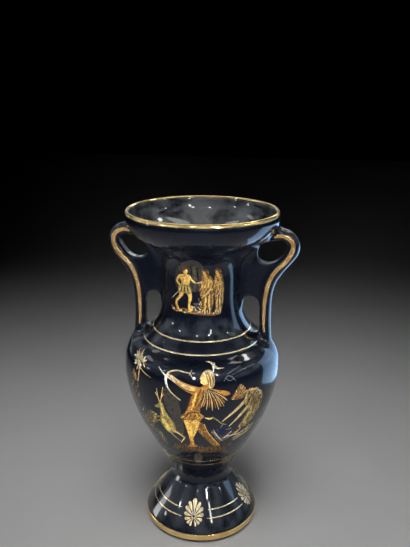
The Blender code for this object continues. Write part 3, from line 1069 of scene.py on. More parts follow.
@dataclass
class GoldWork:
    """Bands and lines round the pot, the palmettes of the foot and the stripes of the handles."""

    pot: PotOutline
    form: GlazedForm
    material: bpy.types.Material
    line_material: bpy.types.Material
    stripe_material: bpy.types.Material
    height: float = 0.05
    thickness: float = 0.15
    turn_steps: int = 240
    band_spacing: float = 0.5
    rim_band: Pair = (128.0, 33.0)
    foot_band: Pair = (7.4, 2.3)
    line_heights: tuple[float, ...] = (162.4, 155.3)
    line_width: float = 0.85
    faint_heights: tuple[float, ...] = (65.2, 60.2)
    faint_width: float = 0.32
    foot_lines: tuple[float, ...] = (22.5, 17.6)
    foot_line_widths: Pair = (0.4, 0.75)
    foot_line_lean: float = 0.4
    palmettes: tuple[float, ...] = (1.0, 84.0, 181.0, 264.0)
    palmette_room: float = 17.5
    hub_height: float = 18.4
    petals: tuple[Triple, ...] = (
        (0.0, 10.6, 3.6), (28.0, 9.8, 3.0), (54.0, 9.1, 2.9), (80.0, 8.3, 2.7), (105.0, 7.5, 2.4),
        (130.0, 6.8, 2.1), (157.0, 6.4, 1.8))
    petal_narrowing: float = 0.92
    petal_steps: tuple[float, ...] = (0.12, 0.36, 0.62, 0.84)
    stripe_path: tuple[Pair, ...] = (
        (53.4, 232.9), (57.5, 233.3), (62.5, 231.5), (65.5, 227.6), (65.4, 223.6), (63.9, 219.4),
        (60.3, 214.3), (55.3, 209.3), (51.4, 203.6), (48.7, 196.5), (47.1, 187.3), (46.4, 177.0),
        (46.6, 167.0), (47.1, 161.0))
    stripe_widths: tuple[float, ...] = (2.8, 3.3, 3.5, 3.5, 3.4, 3.3, 3.2, 3.2, 3.1, 3.0, 2.9, 2.6, 2.1,
                                        1.2)
    cheek_outside: float = 5.6

    def ring(self, name: str, outline: np.ndarray, material: bpy.types.Material) -> bpy.types.Object:
        """A full ring of gold over a stretch of the pot's outline, given from its top down."""
        over = inset(outline, -self.height)
        shape = turned(over, self.turn_steps)
        flip = [f for f in shape.faces if f.normal.dot(Vector((*f.calc_center_median().xy, 0.0))) < 0]
        if len(flip) > len(shape.faces) / 2:
            bmesh.ops.reverse_faces(shape, faces=shape.faces)
        return film(name, to_mesh(shape, name), self.thickness, material)

    def side_between(self, top: float, bottom: float) -> np.ndarray:
        """The pot's outer side between two heights, from the top down."""
        z = np.linspace(top, bottom, max(int((top - bottom) / self.band_spacing), 3))
        return np.stack([self.form.radius(z), z], axis=1)

    def on_pot(self, azimuth: float) -> Place:
        """Placing of drawings centred on an azimuth, for which up is height over the table."""

        def place(across: np.ndarray, up: np.ndarray, height: np.ndarray) -> np.ndarray:
            """Wrap a flat place round the pot."""
            radius = self.form.radius(up)
            slope = self.form.flare(up)
            long = np.sqrt(1 + slope ** 2)
            turn = radians(azimuth) + across / radius
            out = radius + height / long
            return np.stack([out * np.sin(turn), -out * np.cos(turn), up - height * slope / long], axis=1)

        return place

    def palmette(self) -> Drawing:
        """One fan of thirteen petals rising from a low hub."""
        drawing = Drawing()
        for angle, length, width in self.petals:
            for sign in ((1,) if angle == 0 else (1, -1)):
                way = np.array([sin(radians(angle)) * sign * self.petal_narrowing, cos(radians(angle))])
                points = [np.array([0.0, self.hub_height]) + way * length * t
                          for t in self.petal_steps]
                drawing.stroke([tuple(p) for p in points],
                               [0.35, 0.24 * width, 0.72 * width, 0.92 * width], GOLD)
        return drawing

    def foot_arcs(self) -> Drawing:
        """Two lines round the foot, broken where the palmettes stand."""
        drawing = Drawing()
        stops = self.palmettes + (self.palmettes[0] + 360.0,)
        for first, second in zip(stops, stops[1:]):
            for z in self.foot_lines:
                lean = (self.foot_lines[0] - z) * self.foot_line_lean
                turns = np.radians(np.linspace(first + self.palmette_room - lean,
                                               second - self.palmette_room + lean, 9))
                tip, middle = self.foot_line_widths
                drawing.stroke([(t * float(self.form.radius(z)), z) for t in turns],
                               [tip] + [middle] * 7 + [tip], GOLD, spacing=1.0)
        return drawing

    def stripe(self, side: Side, face: int) -> bpy.types.Object:
        """The stripe on one cheek of a handle, from under the lip round the curl to the shoulder."""
        drawing = Drawing()
        drawing.stroke(self.stripe_path, self.stripe_widths, GOLD)

        def place(across: np.ndarray, up: np.ndarray, height: np.ndarray) -> np.ndarray:
            """Stand the drawing against the cheek and settle it there."""
            cheek = np.full_like(across, face * self.cheek_outside)
            points = np.stack([side.value * across, cheek, up], axis=1)
            return self.form.settle(points, height, rounds=4)

        where = f"{side.name.lower()}_{'front' if face < 0 else 'back'}"
        item = drawing.lay(f"gold_stripe_{where}", place, self.thickness, self.stripe_material)
        if face * side.value > 0:
            item.data.flip_normals()
        return item

    def build(self) -> list[bpy.types.Object]:
        """Lay all the gold."""
        pieces = [self.ring("gold_rim_band", self.pot.roll(*self.rim_band, 22), self.material),
                  self.ring("gold_foot_band", self.side_between(*self.foot_band), self.material)]
        for kind, heights, width, material in (
                ("gold_line", self.line_heights, self.line_width, self.line_material),
                ("faint_line", self.faint_heights, self.faint_width, self.material)):
            for index, z in enumerate(heights):
                outline = self.side_between(z + width / 2, z - width / 2)
                pieces.append(self.ring(f"{kind}_{index + 1}", outline, material))
        pieces.append(self.foot_arcs().lay("gold_foot_lines", self.on_pot(0.0), self.thickness,
                                           self.line_material))
        for index, azimuth in enumerate(self.palmettes):
            pieces.append(self.palmette().lay(f"palmette_{index + 1}", self.on_pot(azimuth),
                                              self.thickness, self.line_material))
        for side in Side:
            for face in (-1, 1):
                pieces.append(self.stripe(side, face))
        return pieces


@dataclass
class Pictures:
    """The two painted pictures of the front: a hunt on the belly and a meeting on the neck."""

    place: Place
    material: bpy.types.Material
    thickness: float = 0.4

    def hunter(self, d: Drawing) -> None:
        """A hunter in a short tunic who strides to the left with a bow held out."""
        leg = [(6.4, 110), (10.2, 109.2), (12, 104), (13.6, 99.4), (16.6, 94), (19.6, 89), (21.6, 84),
               (17.2, 83.8), (14, 88.6), (10.8, 93.6), (7.8, 99), (5.8, 105)]
        d.patch(leg, BROWN, 2)
        d.flecks(leg, (AMBER, GOLD, UMBER, AMBER), 3, 110, 118)
        d.stroke([(11.4, 107.6), (14, 98.8), (20.8, 85.2)], [0.5, 0.7, 0.5], YELLOW, 4)
        d.patch([(-0.2, 95), (2.8, 94.8), (3.4, 90), (3.4, 86.6), (5.4, 84.8), (3.4, 83.6), (-1.6, 83.8),
                 (-0.4, 86.2), (0.2, 88.4)], AMBER, 3)
        d.stroke([(1.6, 94), (2.2, 90), (2.2, 86)], [0.7, 1.2, 0.8], YELLOW, 4)
        d.lines(4, [(3, 94), (3.2, 89.6), (2.4, 86)], [(0.2, 88.4), (0, 85)])
        d.patch([(17, 136.6), (21.4, 135.6), (25.6, 134.8), (29.8, 133), (30.2, 131.2), (27.4, 130.6),
                 (23.6, 131.2), (20.4, 130.2), (17.2, 130.2)], AMBER, 3)
        d.stroke([(19.4, 133.6), (24, 133.4), (28.6, 131.8)], [1.1, 1.5, 0.8], GOLD, 4)
        torso = [(4.6, 136.6), (8.6, 138), (13.4, 138.6), (17.8, 136.4), (17.2, 132.4), (14, 129.8),
                 (11, 127), (9.2, 122.8), (8.6, 117.2), (4, 116.6), (-1.2, 117), (-0.2, 120.6),
                 (1.4, 124.6), (2.8, 129), (3.8, 133)]
        d.patch(torso, AMBER, 5)
        d.flecks(torso, (GOLD, BROWN, OLIVE, UMBER, AMBER, GOLD), 6, 300, 66)
        d.stroke([(6.6, 133.6), (5.2, 127.6), (3.2, 120.6)], [0.9, 1.7, 1], YELLOW, 7)
        d.stroke([(3.4, 132.4), (1.6, 126.4), (-0.2, 119.6)], [0.5, 1.3, 0.9], UMBER, 7)
        d.lines(8, [(7.6, 127.6), (5, 126.6)], [(7.4, 124.4), (4.6, 123.6)],
                [(8.4, 131.6), (6.4, 126), (5, 118.6)])
        ends = [(7.8, 124), (9.6, 122.4), (11.4, 123.4), (13.4, 120.8), (15.4, 122.4), (17.6, 119.8),
                (19.8, 121.6), (22, 120.4), (23.6, 122.8), (25.8, 122.6), (26.2, 125.4), (28, 127)]
        for index, tip in enumerate(ends):
            root = np.array([12.2 + index * 0.5, 136.6 - abs(index - 4) * 0.25])
            bend = root * 0.45 + np.array(tip) * 0.55 + [0.8, 0.4]
            path = [tuple(root), tuple(bend), tip]
            d.stroke(path, [1.5, 1.3, 0.4], (BROWN, AMBER, GOLD)[index % 3], 9)
            d.stroke([(x + 0.75, z + 0.2) for x, z in path], [0.5, 0.7, 0.4], INK, 10)
            if index % 2:
                d.stroke(path, [0.3, 0.5, 0.3], CREAM, 11)
        d.patch([(8.8, 137.6), (4.2, 138.9), (-1.4, 140.5), (-6.4, 142.4), (-11, 144.6), (-14.6, 145),
                 (-15.6, 143), (-12.6, 141.8), (-8.6, 139.6), (-4.4, 137), (0.4, 134.2), (4.6, 132.8),
                 (8.2, 133.8)], AMBER, 7)
        arm = [(5.6, 137.4), (0.6, 138.8), (-5, 140.6), (-10.2, 143.2), (-13.4, 143.6), (-8.6, 140.6),
               (-3.6, 137.8), (1.8, 135.4), (5.8, 135.4)]
        d.patch(arm, PALE_GOLD, 8)
        d.flecks(arm, (CREAM, BROWN, CREAM), 9, 70, 153)
        d.stroke([(-6, 141.2), (-11, 143.4), (-14.6, 143.8)], [1.2, 2, 1.6], CREAM, 9)
        d.lines(9, [(5.8, 134.2), (0.8, 135.2), (-4, 137.8), (-8.8, 140.6)], [(3, 137.2), (-1.4, 138.4)],
                width=0.45)
        skirt = [(-5.2, 112.6), (-3.4, 115.2), (-0.8, 117.6), (4, 118.2), (8.8, 117.6), (11.6, 114.8),
                 (9.8, 112.6), (8.4, 110.4), (4.4, 109.6), (0.2, 111), (-2.6, 110.4)]
        d.patch(skirt, AMBER, 8)
        d.folds(((-0.6, 117.4), (8.4, 117.2)), ((-4.4, 112.8), (10.6, 114.4)),
                (GOLD, INK, PALE_GOLD, UMBER, GOLD, INK, YELLOW, UMBER, GOLD), 0.9, 9, bend=0.5)
        d.flecks(skirt, (PALE_GOLD, INK, BROWN), 10, 60, 20)
        flap = [(-2.6, 110.4), (2.4, 111.2), (8, 110.4), (7.2, 105), (5.4, 99.6), (3.2, 94.6), (1, 90.4),
                (0, 94.6), (-0.8, 99.8), (-1.8, 105.2)]
        d.patch(flap, YELLOW, 9)
        d.flecks(flap, (PALE_GOLD, GOLD, AMBER), 10, 70, 80)
        d.lines(11, [(3, 110.2), (3.2, 104.4)], [(5.2, 110), (4.6, 104), (2.8, 97.6)],
                [(-2, 110), (2.6, 110.8), (8, 110)])
        d.lines(11, [(0.6, 117.6), (4.6, 118.2), (8.8, 117.8)], width=0.8)
        d.stroke([(13.8, 141.4), (12.6, 137.2)], [4, 4.4], AMBER, 6)
        d.patch([(10.4, 147), (9.4, 145.4), (8.8, 143.8), (9.5, 142.8), (9.3, 141.4), (11.2, 140),
                 (14.2, 140.4), (15.4, 144), (14.2, 147.2)], PALE_GOLD, 11)
        d.patch([(10, 146.6), (11.8, 148.4), (15.2, 148.8), (17.8, 147), (19, 143.4), (18.8, 139.6),
                 (17.2, 137.2), (15, 138), (14.8, 141.4), (14.2, 144.6), (12.2, 146)], CREAM, 12)
        d.flecks([(10.4, 146.8), (13, 148.4), (18.4, 146.2), (18.8, 140), (15.2, 139.4), (13.6, 145.2)],
                 (BROWN, PALE_GOLD, AMBER), 12, 90, 100)
        d.folds(((12, 147.8), (17.2, 146.6)), ((15.2, 138.6), (18.2, 138.2)),
                (BROWN, PALE_GOLD, INK, AMBER, PALE_GOLD, INK, AMBER), 0.62, 13, bend=0.8)
        d.lines(13, [(10.4, 145), (11.8, 145.4)], [(10.3, 141.8), (11.4, 142)],
                [(13, 145.4), (13.8, 142.2), (13, 140.2)], width=0.4)
        d.stroke([(-15.2, 143.8), (-12.4, 146.5), (-7.2, 147.7), (-1, 147.1), (1.8, 146.8)],
                 [1.1, 0.8, 0.65, 0.55, 0.5], CREAM, 10)
        d.stroke([(1.4, 146), (2.2, 147.6), (2.8, 148.6)], [0.6, 0.6, 0.35], CREAM, 10)
        d.patch([(-16, 144), (-14.4, 143.2), (-14.4, 139.8), (-13.6, 136.2), (-14.8, 135.8),
                 (-16.2, 139.6)], WHITE, 10)
        d.stroke([(-14.4, 136.6), (-11.4, 132.6), (-7.4, 129.4), (-4.6, 127.4)], [1.1, 0.7, 0.5, 0.4],
                 CREAM, 10)
        d.stroke([(2, 146.8), (3.4, 144.6), (5.6, 143.6)], [0.3, 0.35, 0.3], CREAM, 10)
        d.disc((4.8, 144), (1.2, 0.9), WHITE, 11)
        d.stroke([(-21.8, 147.6), (-18.6, 145.4), (-15.4, 143.4), (-8, 140.2)], [0.35, 1, 0.7, 0.3],
                 WHITE, 11)

    def stag(self, d: Drawing) -> None:
        """A stag that leaps up to the left, its antlers high."""
        for points in (((-20.6, 122.4), (-22.2, 127), (-22.8, 132.8)),
                       ((-20.2, 122.4), (-18.8, 128), (-17.6, 134.8)),
                       ((-22.1, 126.6), (-24, 129.2)), ((-19, 127.2), (-16.8, 129.8))):
            d.stroke(points, [0.8] + [0.6] * (len(points) - 2) + [0.35], PALE_GOLD)
        d.patch([(-19, 122.8), (-21, 122.4), (-22.6, 119.8), (-25.4, 118.4), (-25, 117), (-21.6, 117.4),
                 (-19.4, 118.8)], OLIVE, 1)
        body = [(-20.6, 122), (-18.2, 121.8), (-16.8, 116.8), (-14.6, 112.6), (-11.4, 108), (-9.6, 102.6),
                (-10.6, 97.8), (-14, 95.2), (-17.4, 96.8), (-20.2, 101.2), (-21.8, 106.2), (-20.8, 111.8),
                (-20.8, 117)]
        d.patch(body, OLIVE, 2)
        d.flecks(body, (PALE_GOLD, LEMON, INK, GOLD, OLIVE), 3, 210, 116)
        d.patch([(-20.6, 107), (-18.4, 108.2), (-15.8, 103.6), (-13.6, 99.4), (-14.6, 96.8), (-17.4, 98),
                 (-19.6, 102)], LEMON, 4)
        d.stroke([(-19, 105.6), (-17, 101.6), (-15.6, 98.6)], [0.6, 1.5, 0.8], YELLOW, 5)
        d.stroke([(-19.6, 120.4), (-18.8, 115), (-18.4, 110.6)], [0.8, 1.6, 1.2], PALE_GOLD, 4)
        d.stroke([(-13, 99.4), (-8.6, 97.2), (-4.2, 93.8), (-3.8, 92.6), (-6.6, 87.2)],
                 [3.4, 1.7, 1.1, 1, 0.6], PALE_GOLD, 2)
        d.stroke([(-14.4, 97), (-10.8, 92.4), (-7, 88.6)], [2.2, 1, 0.6], OLIVE, 1)
        d.stroke([(-19.6, 110.4), (-23.8, 108.6), (-27, 111.4)], [1.8, 1.1, 0.6], OLIVE, 1)
        d.stroke([(-20, 107.4), (-24.4, 104.4), (-28.4, 106.2)], [1.6, 1, 0.6], OLIVE, 1)

    def mourner(self, d: Drawing) -> None:
        """A draped figure that bends forward at the right, both arms held out."""
        body = [(42.6, 131.4), (47.6, 131.8), (53, 130.4), (57.6, 127), (59.8, 121.8), (58.8, 115.8),
                (55.2, 110), (51, 105), (46.4, 101), (40, 98.8), (36.4, 100.4), (39.4, 105.8),
                (42.8, 111.4), (44.2, 117), (42.2, 122), (41.8, 127)]
        d.patch(body, MOSS, 0)
        d.flecks(body, (OLIVE, PALE_GOLD, INK, OLIVE, CREAM, UMBER, GOLD, MOSS), 1, 560, 68, (3, 0.85))
        d.stroke([(43.4, 130.8), (48.6, 131), (54, 128.8), (57.8, 124)], [0.5, 0.8, 0.8, 0.5],
                 PALE_GOLD, 2)
        d.lines(3, [(46, 129.6), (50.4, 122), (50, 113), (46, 104.4)],
                [(51.4, 128.6), (55, 121), (53.4, 112.6)], [(44.4, 124.4), (47.6, 118)], width=0.7)
        hood = [(31, 127.4), (33.2, 131), (35.8, 134.6), (38, 137.6), (39.8, 136.2), (41.8, 134),
                (43.6, 130.6), (42.4, 127.4), (39.4, 126.2), (35, 126.2)]
        d.patch(hood, BROWN, 3)
        d.flecks(hood, (OLIVE, UMBER, PALE_GOLD, UMBER, AMBER), 4, 150, 58)
        for shoulder, elbow, hand in (((43.6, 124.6), (34.8, 117.4), (26.2, 110.8)),
                                      ((44.8, 118), (38.4, 112), (30.8, 105))):
            d.stroke([shoulder, elbow, hand], [2.8, 2.1, 1.3], OLIVE, 2)
            d.stroke([(shoulder[0], shoulder[1] + 0.7), (elbow[0], elbow[1] + 0.7), hand],
                     [0.5, 0.6, 0.5], CREAM, 3)
            d.stroke([(shoulder[0], shoulder[1] - 0.9), (elbow[0], elbow[1] - 0.8), hand],
                     [0.5, 0.5, 0.4], PALE_GOLD, 3)
            d.stroke([hand, (hand[0] - 1.6, hand[1] - 1.6)], [1, 0.5], CREAM, 3)
        for index in range(7):
            start = (31 + index * 2.6, 97.6 - 1.2 * sin(index * 1.7))
            d.stroke([start, (start[0] - 3.6, start[1] - 3.4), (start[0] - 8.6, start[1] - 6.4)],
                     [0.4, 0.8, 0.4], (CREAM, GREY, OLIVE)[index % 3], 1)
        d.stroke([(25, 106.8), (23, 103.4), (25.4, 100.2), (30.6, 101.2)], [1, 0.9, 0.9, 1], GREY, 3)
        d.patch([(21, 101.4), (24.6, 102.2), (27.4, 99.4), (26.4, 96), (22.6, 95.8)], BLUE, 5)
        d.stroke([(50.4, 98), (45, 92.6), (38, 89.6), (32, 87.2)], [2.2, 2.8, 2.2, 1], OLIVE, 1)
        d.folds(((49, 95.6), (44, 90.6)), ((34, 93), (30.8, 88.2)), (CREAM, INK, CREAM, GREY), 0.8, 2)
        d.stroke([(41.6, 94.4), (34.8, 92.8), (29.2, 93.4), (24.2, 92)], [0.5, 0.9, 0.7, 0.4], CREAM, 3)
        d.patch([(15.8, 99.8), (18.6, 99.6), (21.2, 97), (24, 92.6), (24.6, 88.4), (21.4, 91.6),
                 (19, 95.2)], GREY, 1)
        d.folds(((16.4, 101.6), (21.6, 102)), ((22, 87.6), (28, 90.6)), (GREY, CREAM, INK, BROWN, GREY),
                0.8, 2, bend=-0.6)
        d.stroke([(12.4, 113.6), (15.4, 112.6), (18, 113.8)], [0.9, 1.5, 0.7], LEMON, 6)
        d.stroke([(17.6, 113.8), (20.6, 111.2), (23.6, 107.6), (27, 105.8)], [0.8, 1, 0.7, 0.4], OLIVE, 6)

    def surroundings(self, d: Drawing) -> None:
        """Ground, grasses, a white blob between two cream strokes, and a spray of leaves round the
        figures.
        """
        d.patch([(-12.8, 82.4), (-8.6, 84.4), (-3.6, 83.2), (2.4, 84), (8, 83), (13.6, 83.8),
                 (19.4, 82.2), (25.6, 82.6), (25, 76.8), (17.4, 76.2), (8, 77.8), (-1.4, 78.4),
                 (-8.4, 77.6), (-12.8, 79.2)], UMBER, 0)
        blades = (BROWN, UMBER, MOSS, UMBER, BROWN, INK)
        soil = [(-26, 86.6), (-18, 83.4), (-8, 82.6), (6, 82.4), (20, 82.4), (32, 84), (30, 79),
                (16, 76.4), (0, 76.8), (-14, 78.4), (-24, 82)]
        d.flecks(soil, (BROWN, MOSS, UMBER, INK), 1, 260, 12, (3, 0.7))
        for index in range(26):
            x = -12 + index * 1.5
            tall = 2.2 + 1.5 * sin(index * 2.3)
            lean = 0.9 * sin(index * 1.7)
            d.stroke([(x, 79.4 + 0.8 * sin(index * 3.1)), (x + lean * 0.3, 81.6),
                      (x + lean, 82.4 + tall)], [1.3, 1, 0.3], blades[index % len(blades)], 1)
        for index in range(30):
            along = index / 29
            root = np.array([-19 - 21 * along, 80.6 + 25 * along + 2.4 * sin(index * 2.9)])
            way = radians(100 + 38 * sin(index * 1.9))
            tall = 5 + 2.6 * sin(index * 1.3)
            tip = root + tall * np.array([cos(way), sin(way)])
            middle = (root + tip) / 2 + np.array([0.7, 0])
            d.stroke([tuple(root), tuple(middle), tuple(tip)], [0.9, 1.2, 0.35],
                     (MOSS, OLIVE, SHADE, MOSS)[index % 4], index % 3)
        d.patch([(-33.4, 110), (-29.6, 112.4), (-24.8, 109.2), (-24.4, 103.4), (-28.4, 99.6),
                 (-32.6, 101.2), (-34.6, 105.4)], MOSS, 1)
        for index in range(12):
            spot = (-32.6 + 7.6 * (0.5 + 0.5 * sin(index * 2.2)), 101.6 + 9.4 * index / 11)
            d.stroke([spot, (spot[0] + 1.2, spot[1] + 1.4)], [0.9, 0.4],
                     (PALE_GOLD, OLIVE, INK)[index % 3], 2)
        d.patch([(-17, 133.6), (-13.8, 134.4), (-9.6, 131), (-6, 126.8), (-4.4, 116), (-3.4, 104),
                 (-4, 96.6), (-7.6, 95.4), (-9.4, 102), (-11.6, 110), (-14.8, 117), (-17.2, 125)],
                SHADE)
        # A white blob between two cream wing-shaped strokes, high on the right of the picture.
        d.stroke([(11.2, 152.4), (14.6, 152), (17.2, 150.6)], [0.3, 0.8, 1.5], CREAM)
        d.stroke([(17, 150.4), (20.6, 149.4), (24.8, 149.2)], [1.5, 0.8, 0.3], CREAM)
        d.stroke([(17.2, 151), (17.6, 147.8)], [1.7, 0.6], WHITE, 1)
        for points in (((25.6, 141.4), (27.8, 144.4), (31, 143.8), (34.4, 140.4)),
                       ((27.4, 145.6), (33, 147.8), (37.4, 149)),
                       ((31, 144.6), (37.4, 146.4), (43, 147.2)),
                       ((26.4, 143.4), (29.8, 141.2), (33, 142.2))):
            d.stroke(points, [0.3] + [0.45] * (len(points) - 2) + [0.3], GREY)
        d.disc((-42.6, 146.4), (4.6, 3.4), PALE_GOLD)
        d.disc((-38.6, 146.8), (3, 2.6), CREAM)
        for x, z, spread in ((-44.4, 147.2, 4.2), (-41.6, 147.8, 4.2), (-42.8, 144.2, 4),
                             (-38.4, 146.8, 3.6)):
            for index in range(11):
                way = radians(33 * index + 13 * x)
                tip = (x + 1.35 * spread * cos(way), z + spread * sin(way))
                middle = (x * 0.5 + tip[0] * 0.5, z * 0.5 + tip[1] * 0.5 + 0.4)
                d.stroke([(x, z), middle, tip], [0.9, 1.5, 0.5],
                         (CREAM, WHITE, INK, CREAM, BROWN)[index % 5], 1 + index % 3)
        d.stroke([(-40.6, 144), (-40.8, 139), (-41.6, 132.4)], [1.2, 0.9, 0.5], PALE_GOLD)
        d.stroke([(-40.2, 143.2), (-34.6, 140.8), (-28.4, 139.2)], [0.7, 0.5, 0.3], PALE_GOLD)
        for index in range(16):
            root = (-46.4 + 4.6 * sin(index * 2.4), 110 + index * 1.6)
            tip = (root[0] + 2.6 * cos(index * 1.3), root[1] + 3.4)
            d.stroke([root, tip], [1.5, 0.5], (MOSS, BROWN, OLIVE, MOSS)[index % 4])
        d.patch([(-48.2, 139.4), (-45.8, 138.4), (-43.6, 134.6), (-44.4, 131.8), (-47, 132.6),
                 (-48.8, 135.6)], BROWN, 1)
        d.folds(((-47.6, 138), (-45, 136.8)), ((-46.6, 133.2), (-44.6, 132.8)), (CREAM, AMBER, CREAM),
                0.6, 2)

    def walker(self, d: Drawing) -> None:
        """A young man in a kilt who walks to the right with one arm on his hip and a staff behind."""
        d.stroke([(-8, 199.2), (-13, 195), (-19.2, 189)], [0.35, 0.45, 0.35], CREAM, 3)
        d.patch([(-11.2, 197.4), (-7.6, 196.8), (-9, 192.8), (-12.4, 189.2), (-13.8, 186.6), (-12, 182.6),
                 (-13.6, 181.8), (-15.6, 186), (-14.8, 189.8), (-12, 193.2)], GOLD, 3)
        d.stroke([(-9.6, 196), (-11, 192), (-14, 188.4), (-14.6, 185.8)], [0.5, 0.9, 0.7, 0.4], CREAM, 4)
        d.patch([(-6.6, 197.2), (-3.2, 197.4), (-2, 192.4), (-3.2, 187.6), (-3.2, 184.4), (-0.8, 182.8),
                 (-4.4, 182.4), (-5, 187.4), (-4.6, 191.8)], YELLOW, 3)
        d.stroke([(-4.2, 196), (-3, 191.6), (-3.9, 186.4)], [0.5, 0.9, 0.5], PALE_GOLD, 4)
        d.patch([(-12, 207.6), (-8.6, 208.8), (-4.4, 208.6), (-3, 206), (-4, 202.2), (-4.2, 199),
                 (-10.2, 199), (-9.8, 202.6), (-11, 205.2)], YELLOW, 4)
        d.stroke([(-8.6, 207), (-7.8, 203), (-7.6, 200)], [1.2, 1.8, 1.2], PALE_GOLD, 5)
        d.stroke([(-11.6, 207), (-14, 203.2), (-10.4, 199.8)], [2, 1.5, 1.1], YELLOW, 5)
        d.stroke([(-11.8, 206.6), (-13.6, 203.6)], [0.6, 0.5], CREAM, 6)
        d.stroke([(-4.2, 207.8), (-1.8, 204.6), (1.2, 203), (4.4, 203.8)], [1.7, 1.2, 0.9, 0.8],
                 PALE_GOLD, 5)
        d.patch([(-11.2, 200.6), (-4, 200.8), (-2.2, 195.6), (-5, 194.4), (-8.6, 195.4), (-12.4, 194.4),
                 (-13, 197)], OLIVE, 6)
        d.folds(((-10.4, 200), (-4.6, 200.2)), ((-12, 195.4), (-3.2, 196)),
                (PALE_GOLD, INK, YELLOW, INK, PALE_GOLD, INK, YELLOW), 0.7, 7)
        d.lines(7, [(-10.8, 200.6), (-4.2, 200.8)], [(-6.2, 207.4), (-5.6, 202.6)],
                [(-9.6, 205), (-9, 202)], width=0.35)
        d.stroke([(-7.2, 210.4), (-7.4, 208.2)], [2, 2.2], GOLD, 5)
        d.disc((-6.8, 211.4), (1.9, 2.3), PALE_GOLD, 6)
        d.patch([(-9, 210.4), (-9.2, 212.8), (-7.6, 214.4), (-5.4, 214), (-4.8, 212.6), (-7, 212.4),
                 (-7.8, 210.8)], BROWN, 7)

    def draped(self, d: Drawing, left: float, right: float, head: float, top: float) -> None:
        """A standing figure in a long mantle.

        Args:
            d: the drawing.
            left: its left edge.
            right: its right edge.
            head: where its head is across.
            top: height of its crown.
        """
        middle, wide = (left + right) / 2, right - left
        neck = top - 4.6
        d.patch([(head - 2.4, neck), (head + 2.4, neck + 0.4), (right - 0.8, neck - 3),
                 (right + 0.2, 200), (right - 0.2, 190.6), (right - 2.2, 180.4), (middle - 0.8, 180),
                 (left + 1.4, 181), (left + 2, 188.4), (left + 0.4, 195), (left, 201.2),
                 (left + 1.2, neck - 2.2)], BROWN, 3)
        mantle = [(left + 0.6, 203), (middle, neck), (right - 0.6, 203), (right - 0.2, 190),
                  (right - 2.2, 181), (left + 2, 181.4), (left + 2.2, 190), (left + 0.4, 196)]
        d.flecks(mantle, (GOLD, YELLOW, INK, PALE_GOLD, OLIVE, AMBER, UMBER), 4, int(420 + wide), 80,
                 (2.4, 0.75))
        d.folds(((left + 1.4, 204.6), (right - 1.2, 196.8)),
                ((left + wide * 0.4, 199.4), (left + 2.2, 191.6)),
                (PALE_GOLD, INK, GOLD, UMBER, CREAM, INK), 0.7, 5, bend=0.8)
        d.folds(((middle - 0.6, 194), (right - 2, 196)), ((middle - 1, 182), (right - 1.4, 182)),
                (YELLOW, INK, PALE_GOLD, UMBER), 0.8, 5, bend=-0.4)
        d.folds(((left + 2.4, 183), (right - 2.2, 183.4)), ((left + 1.8, 180.6), (right - 2, 180.4)),
                (CREAM, INK) * 4, 0.5, 6)
        d.stroke([(head, neck + 1), (head, neck - 0.6)], [1.8, 2.2], GOLD, 5)
        d.disc((head - 0.4, top - 2.5), (1.6, 2.1), GOLD, 6)
        d.patch([(head - 2.6, top - 1.4), (head - 1.6, top + 0.4), (head + 1.2, top + 0.4),
                 (head + 2.6, top - 1.6), (head + 2.2, top - 4), (head + 0.4, top - 3.4),
                 (head - 0.2, top - 1.6)], UMBER, 7)
        d.folds(((head - 2, top - 0.8), (head + 1.6, top - 0.6)),
                ((head - 0.6, top - 2), (head + 2.2, top - 3.4)), (CREAM, BROWN, OLIVE), 0.45, 8)

    def meeting(self, d: Drawing) -> None:
        """A walker before two draped figures, over stony ground."""
        d.patch([(-14.8, 199), (-15.2, 208), (-12.4, 214.6), (-7.6, 218.8), (-1.4, 221), (4, 219),
                 (6.2, 213.4), (6, 205.4), (4.2, 198), (-2, 196.4), (-8, 197.4)], SHADE)
        d.folds(((-2.8, 216.4), (2, 215)), ((-2.2, 206), (2.2, 204)), (INK, MOSS, INK), 1.2, 1)
        d.patch([(-19.6, 184.2), (-14, 182.8), (-8, 183.8), (-1.6, 183), (4.6, 183.2), (10, 181.6),
                 (17.6, 181), (17.6, 179.2), (8, 179.4), (-2.4, 180.2), (-12, 181), (-18.8, 182.2)],
                BROWN, 1)
        stones = (PALE_GOLD, CREAM, AMBER, INK, CREAM, GREY, GOLD)
        for index in range(34):
            x = -18 + index * 0.98
            z = 181.6 + 0.9 * sin(index * 2.7)
            d.disc((x, z), (0.75 + 0.25 * sin(index * 1.3), 0.6), stones[index % len(stones)], 2)
        for index in range(30):
            x = 1.2 + 3.4 * sin(index * 2.4)
            z = 183 + (8.4 - 1.1 * abs(x - 3)) * (index / 29)
            way = index * 1.9
            d.stroke([(x - 0.6 * cos(way), z - 0.6 * sin(way)), (x + 0.6 * cos(way), z + 0.6 * sin(way))],
                     [0.7, 0.4], (CREAM, GREY, BROWN, CREAM)[index % 4], 2)
        self.draped(d, 12.6, 21.2, 16.6, 213.2)
        self.draped(d, 3.2, 13.6, 7.4, 213)
        self.walker(d)

    def build(self) -> list[bpy.types.Object]:
        """Paint both pictures."""
        belly = Drawing()
        for part in (self.surroundings, self.stag, self.mourner, self.hunter):
            part(belly)
        neck = Drawing()
        self.meeting(neck)
        pieces = [belly.lay("belly_picture", self.place, self.thickness, self.material),
                  neck.lay("neck_picture", self.place, self.thickness, self.material)]
        for piece in pieces:
            piece.visible_glossy = False
        return pieces


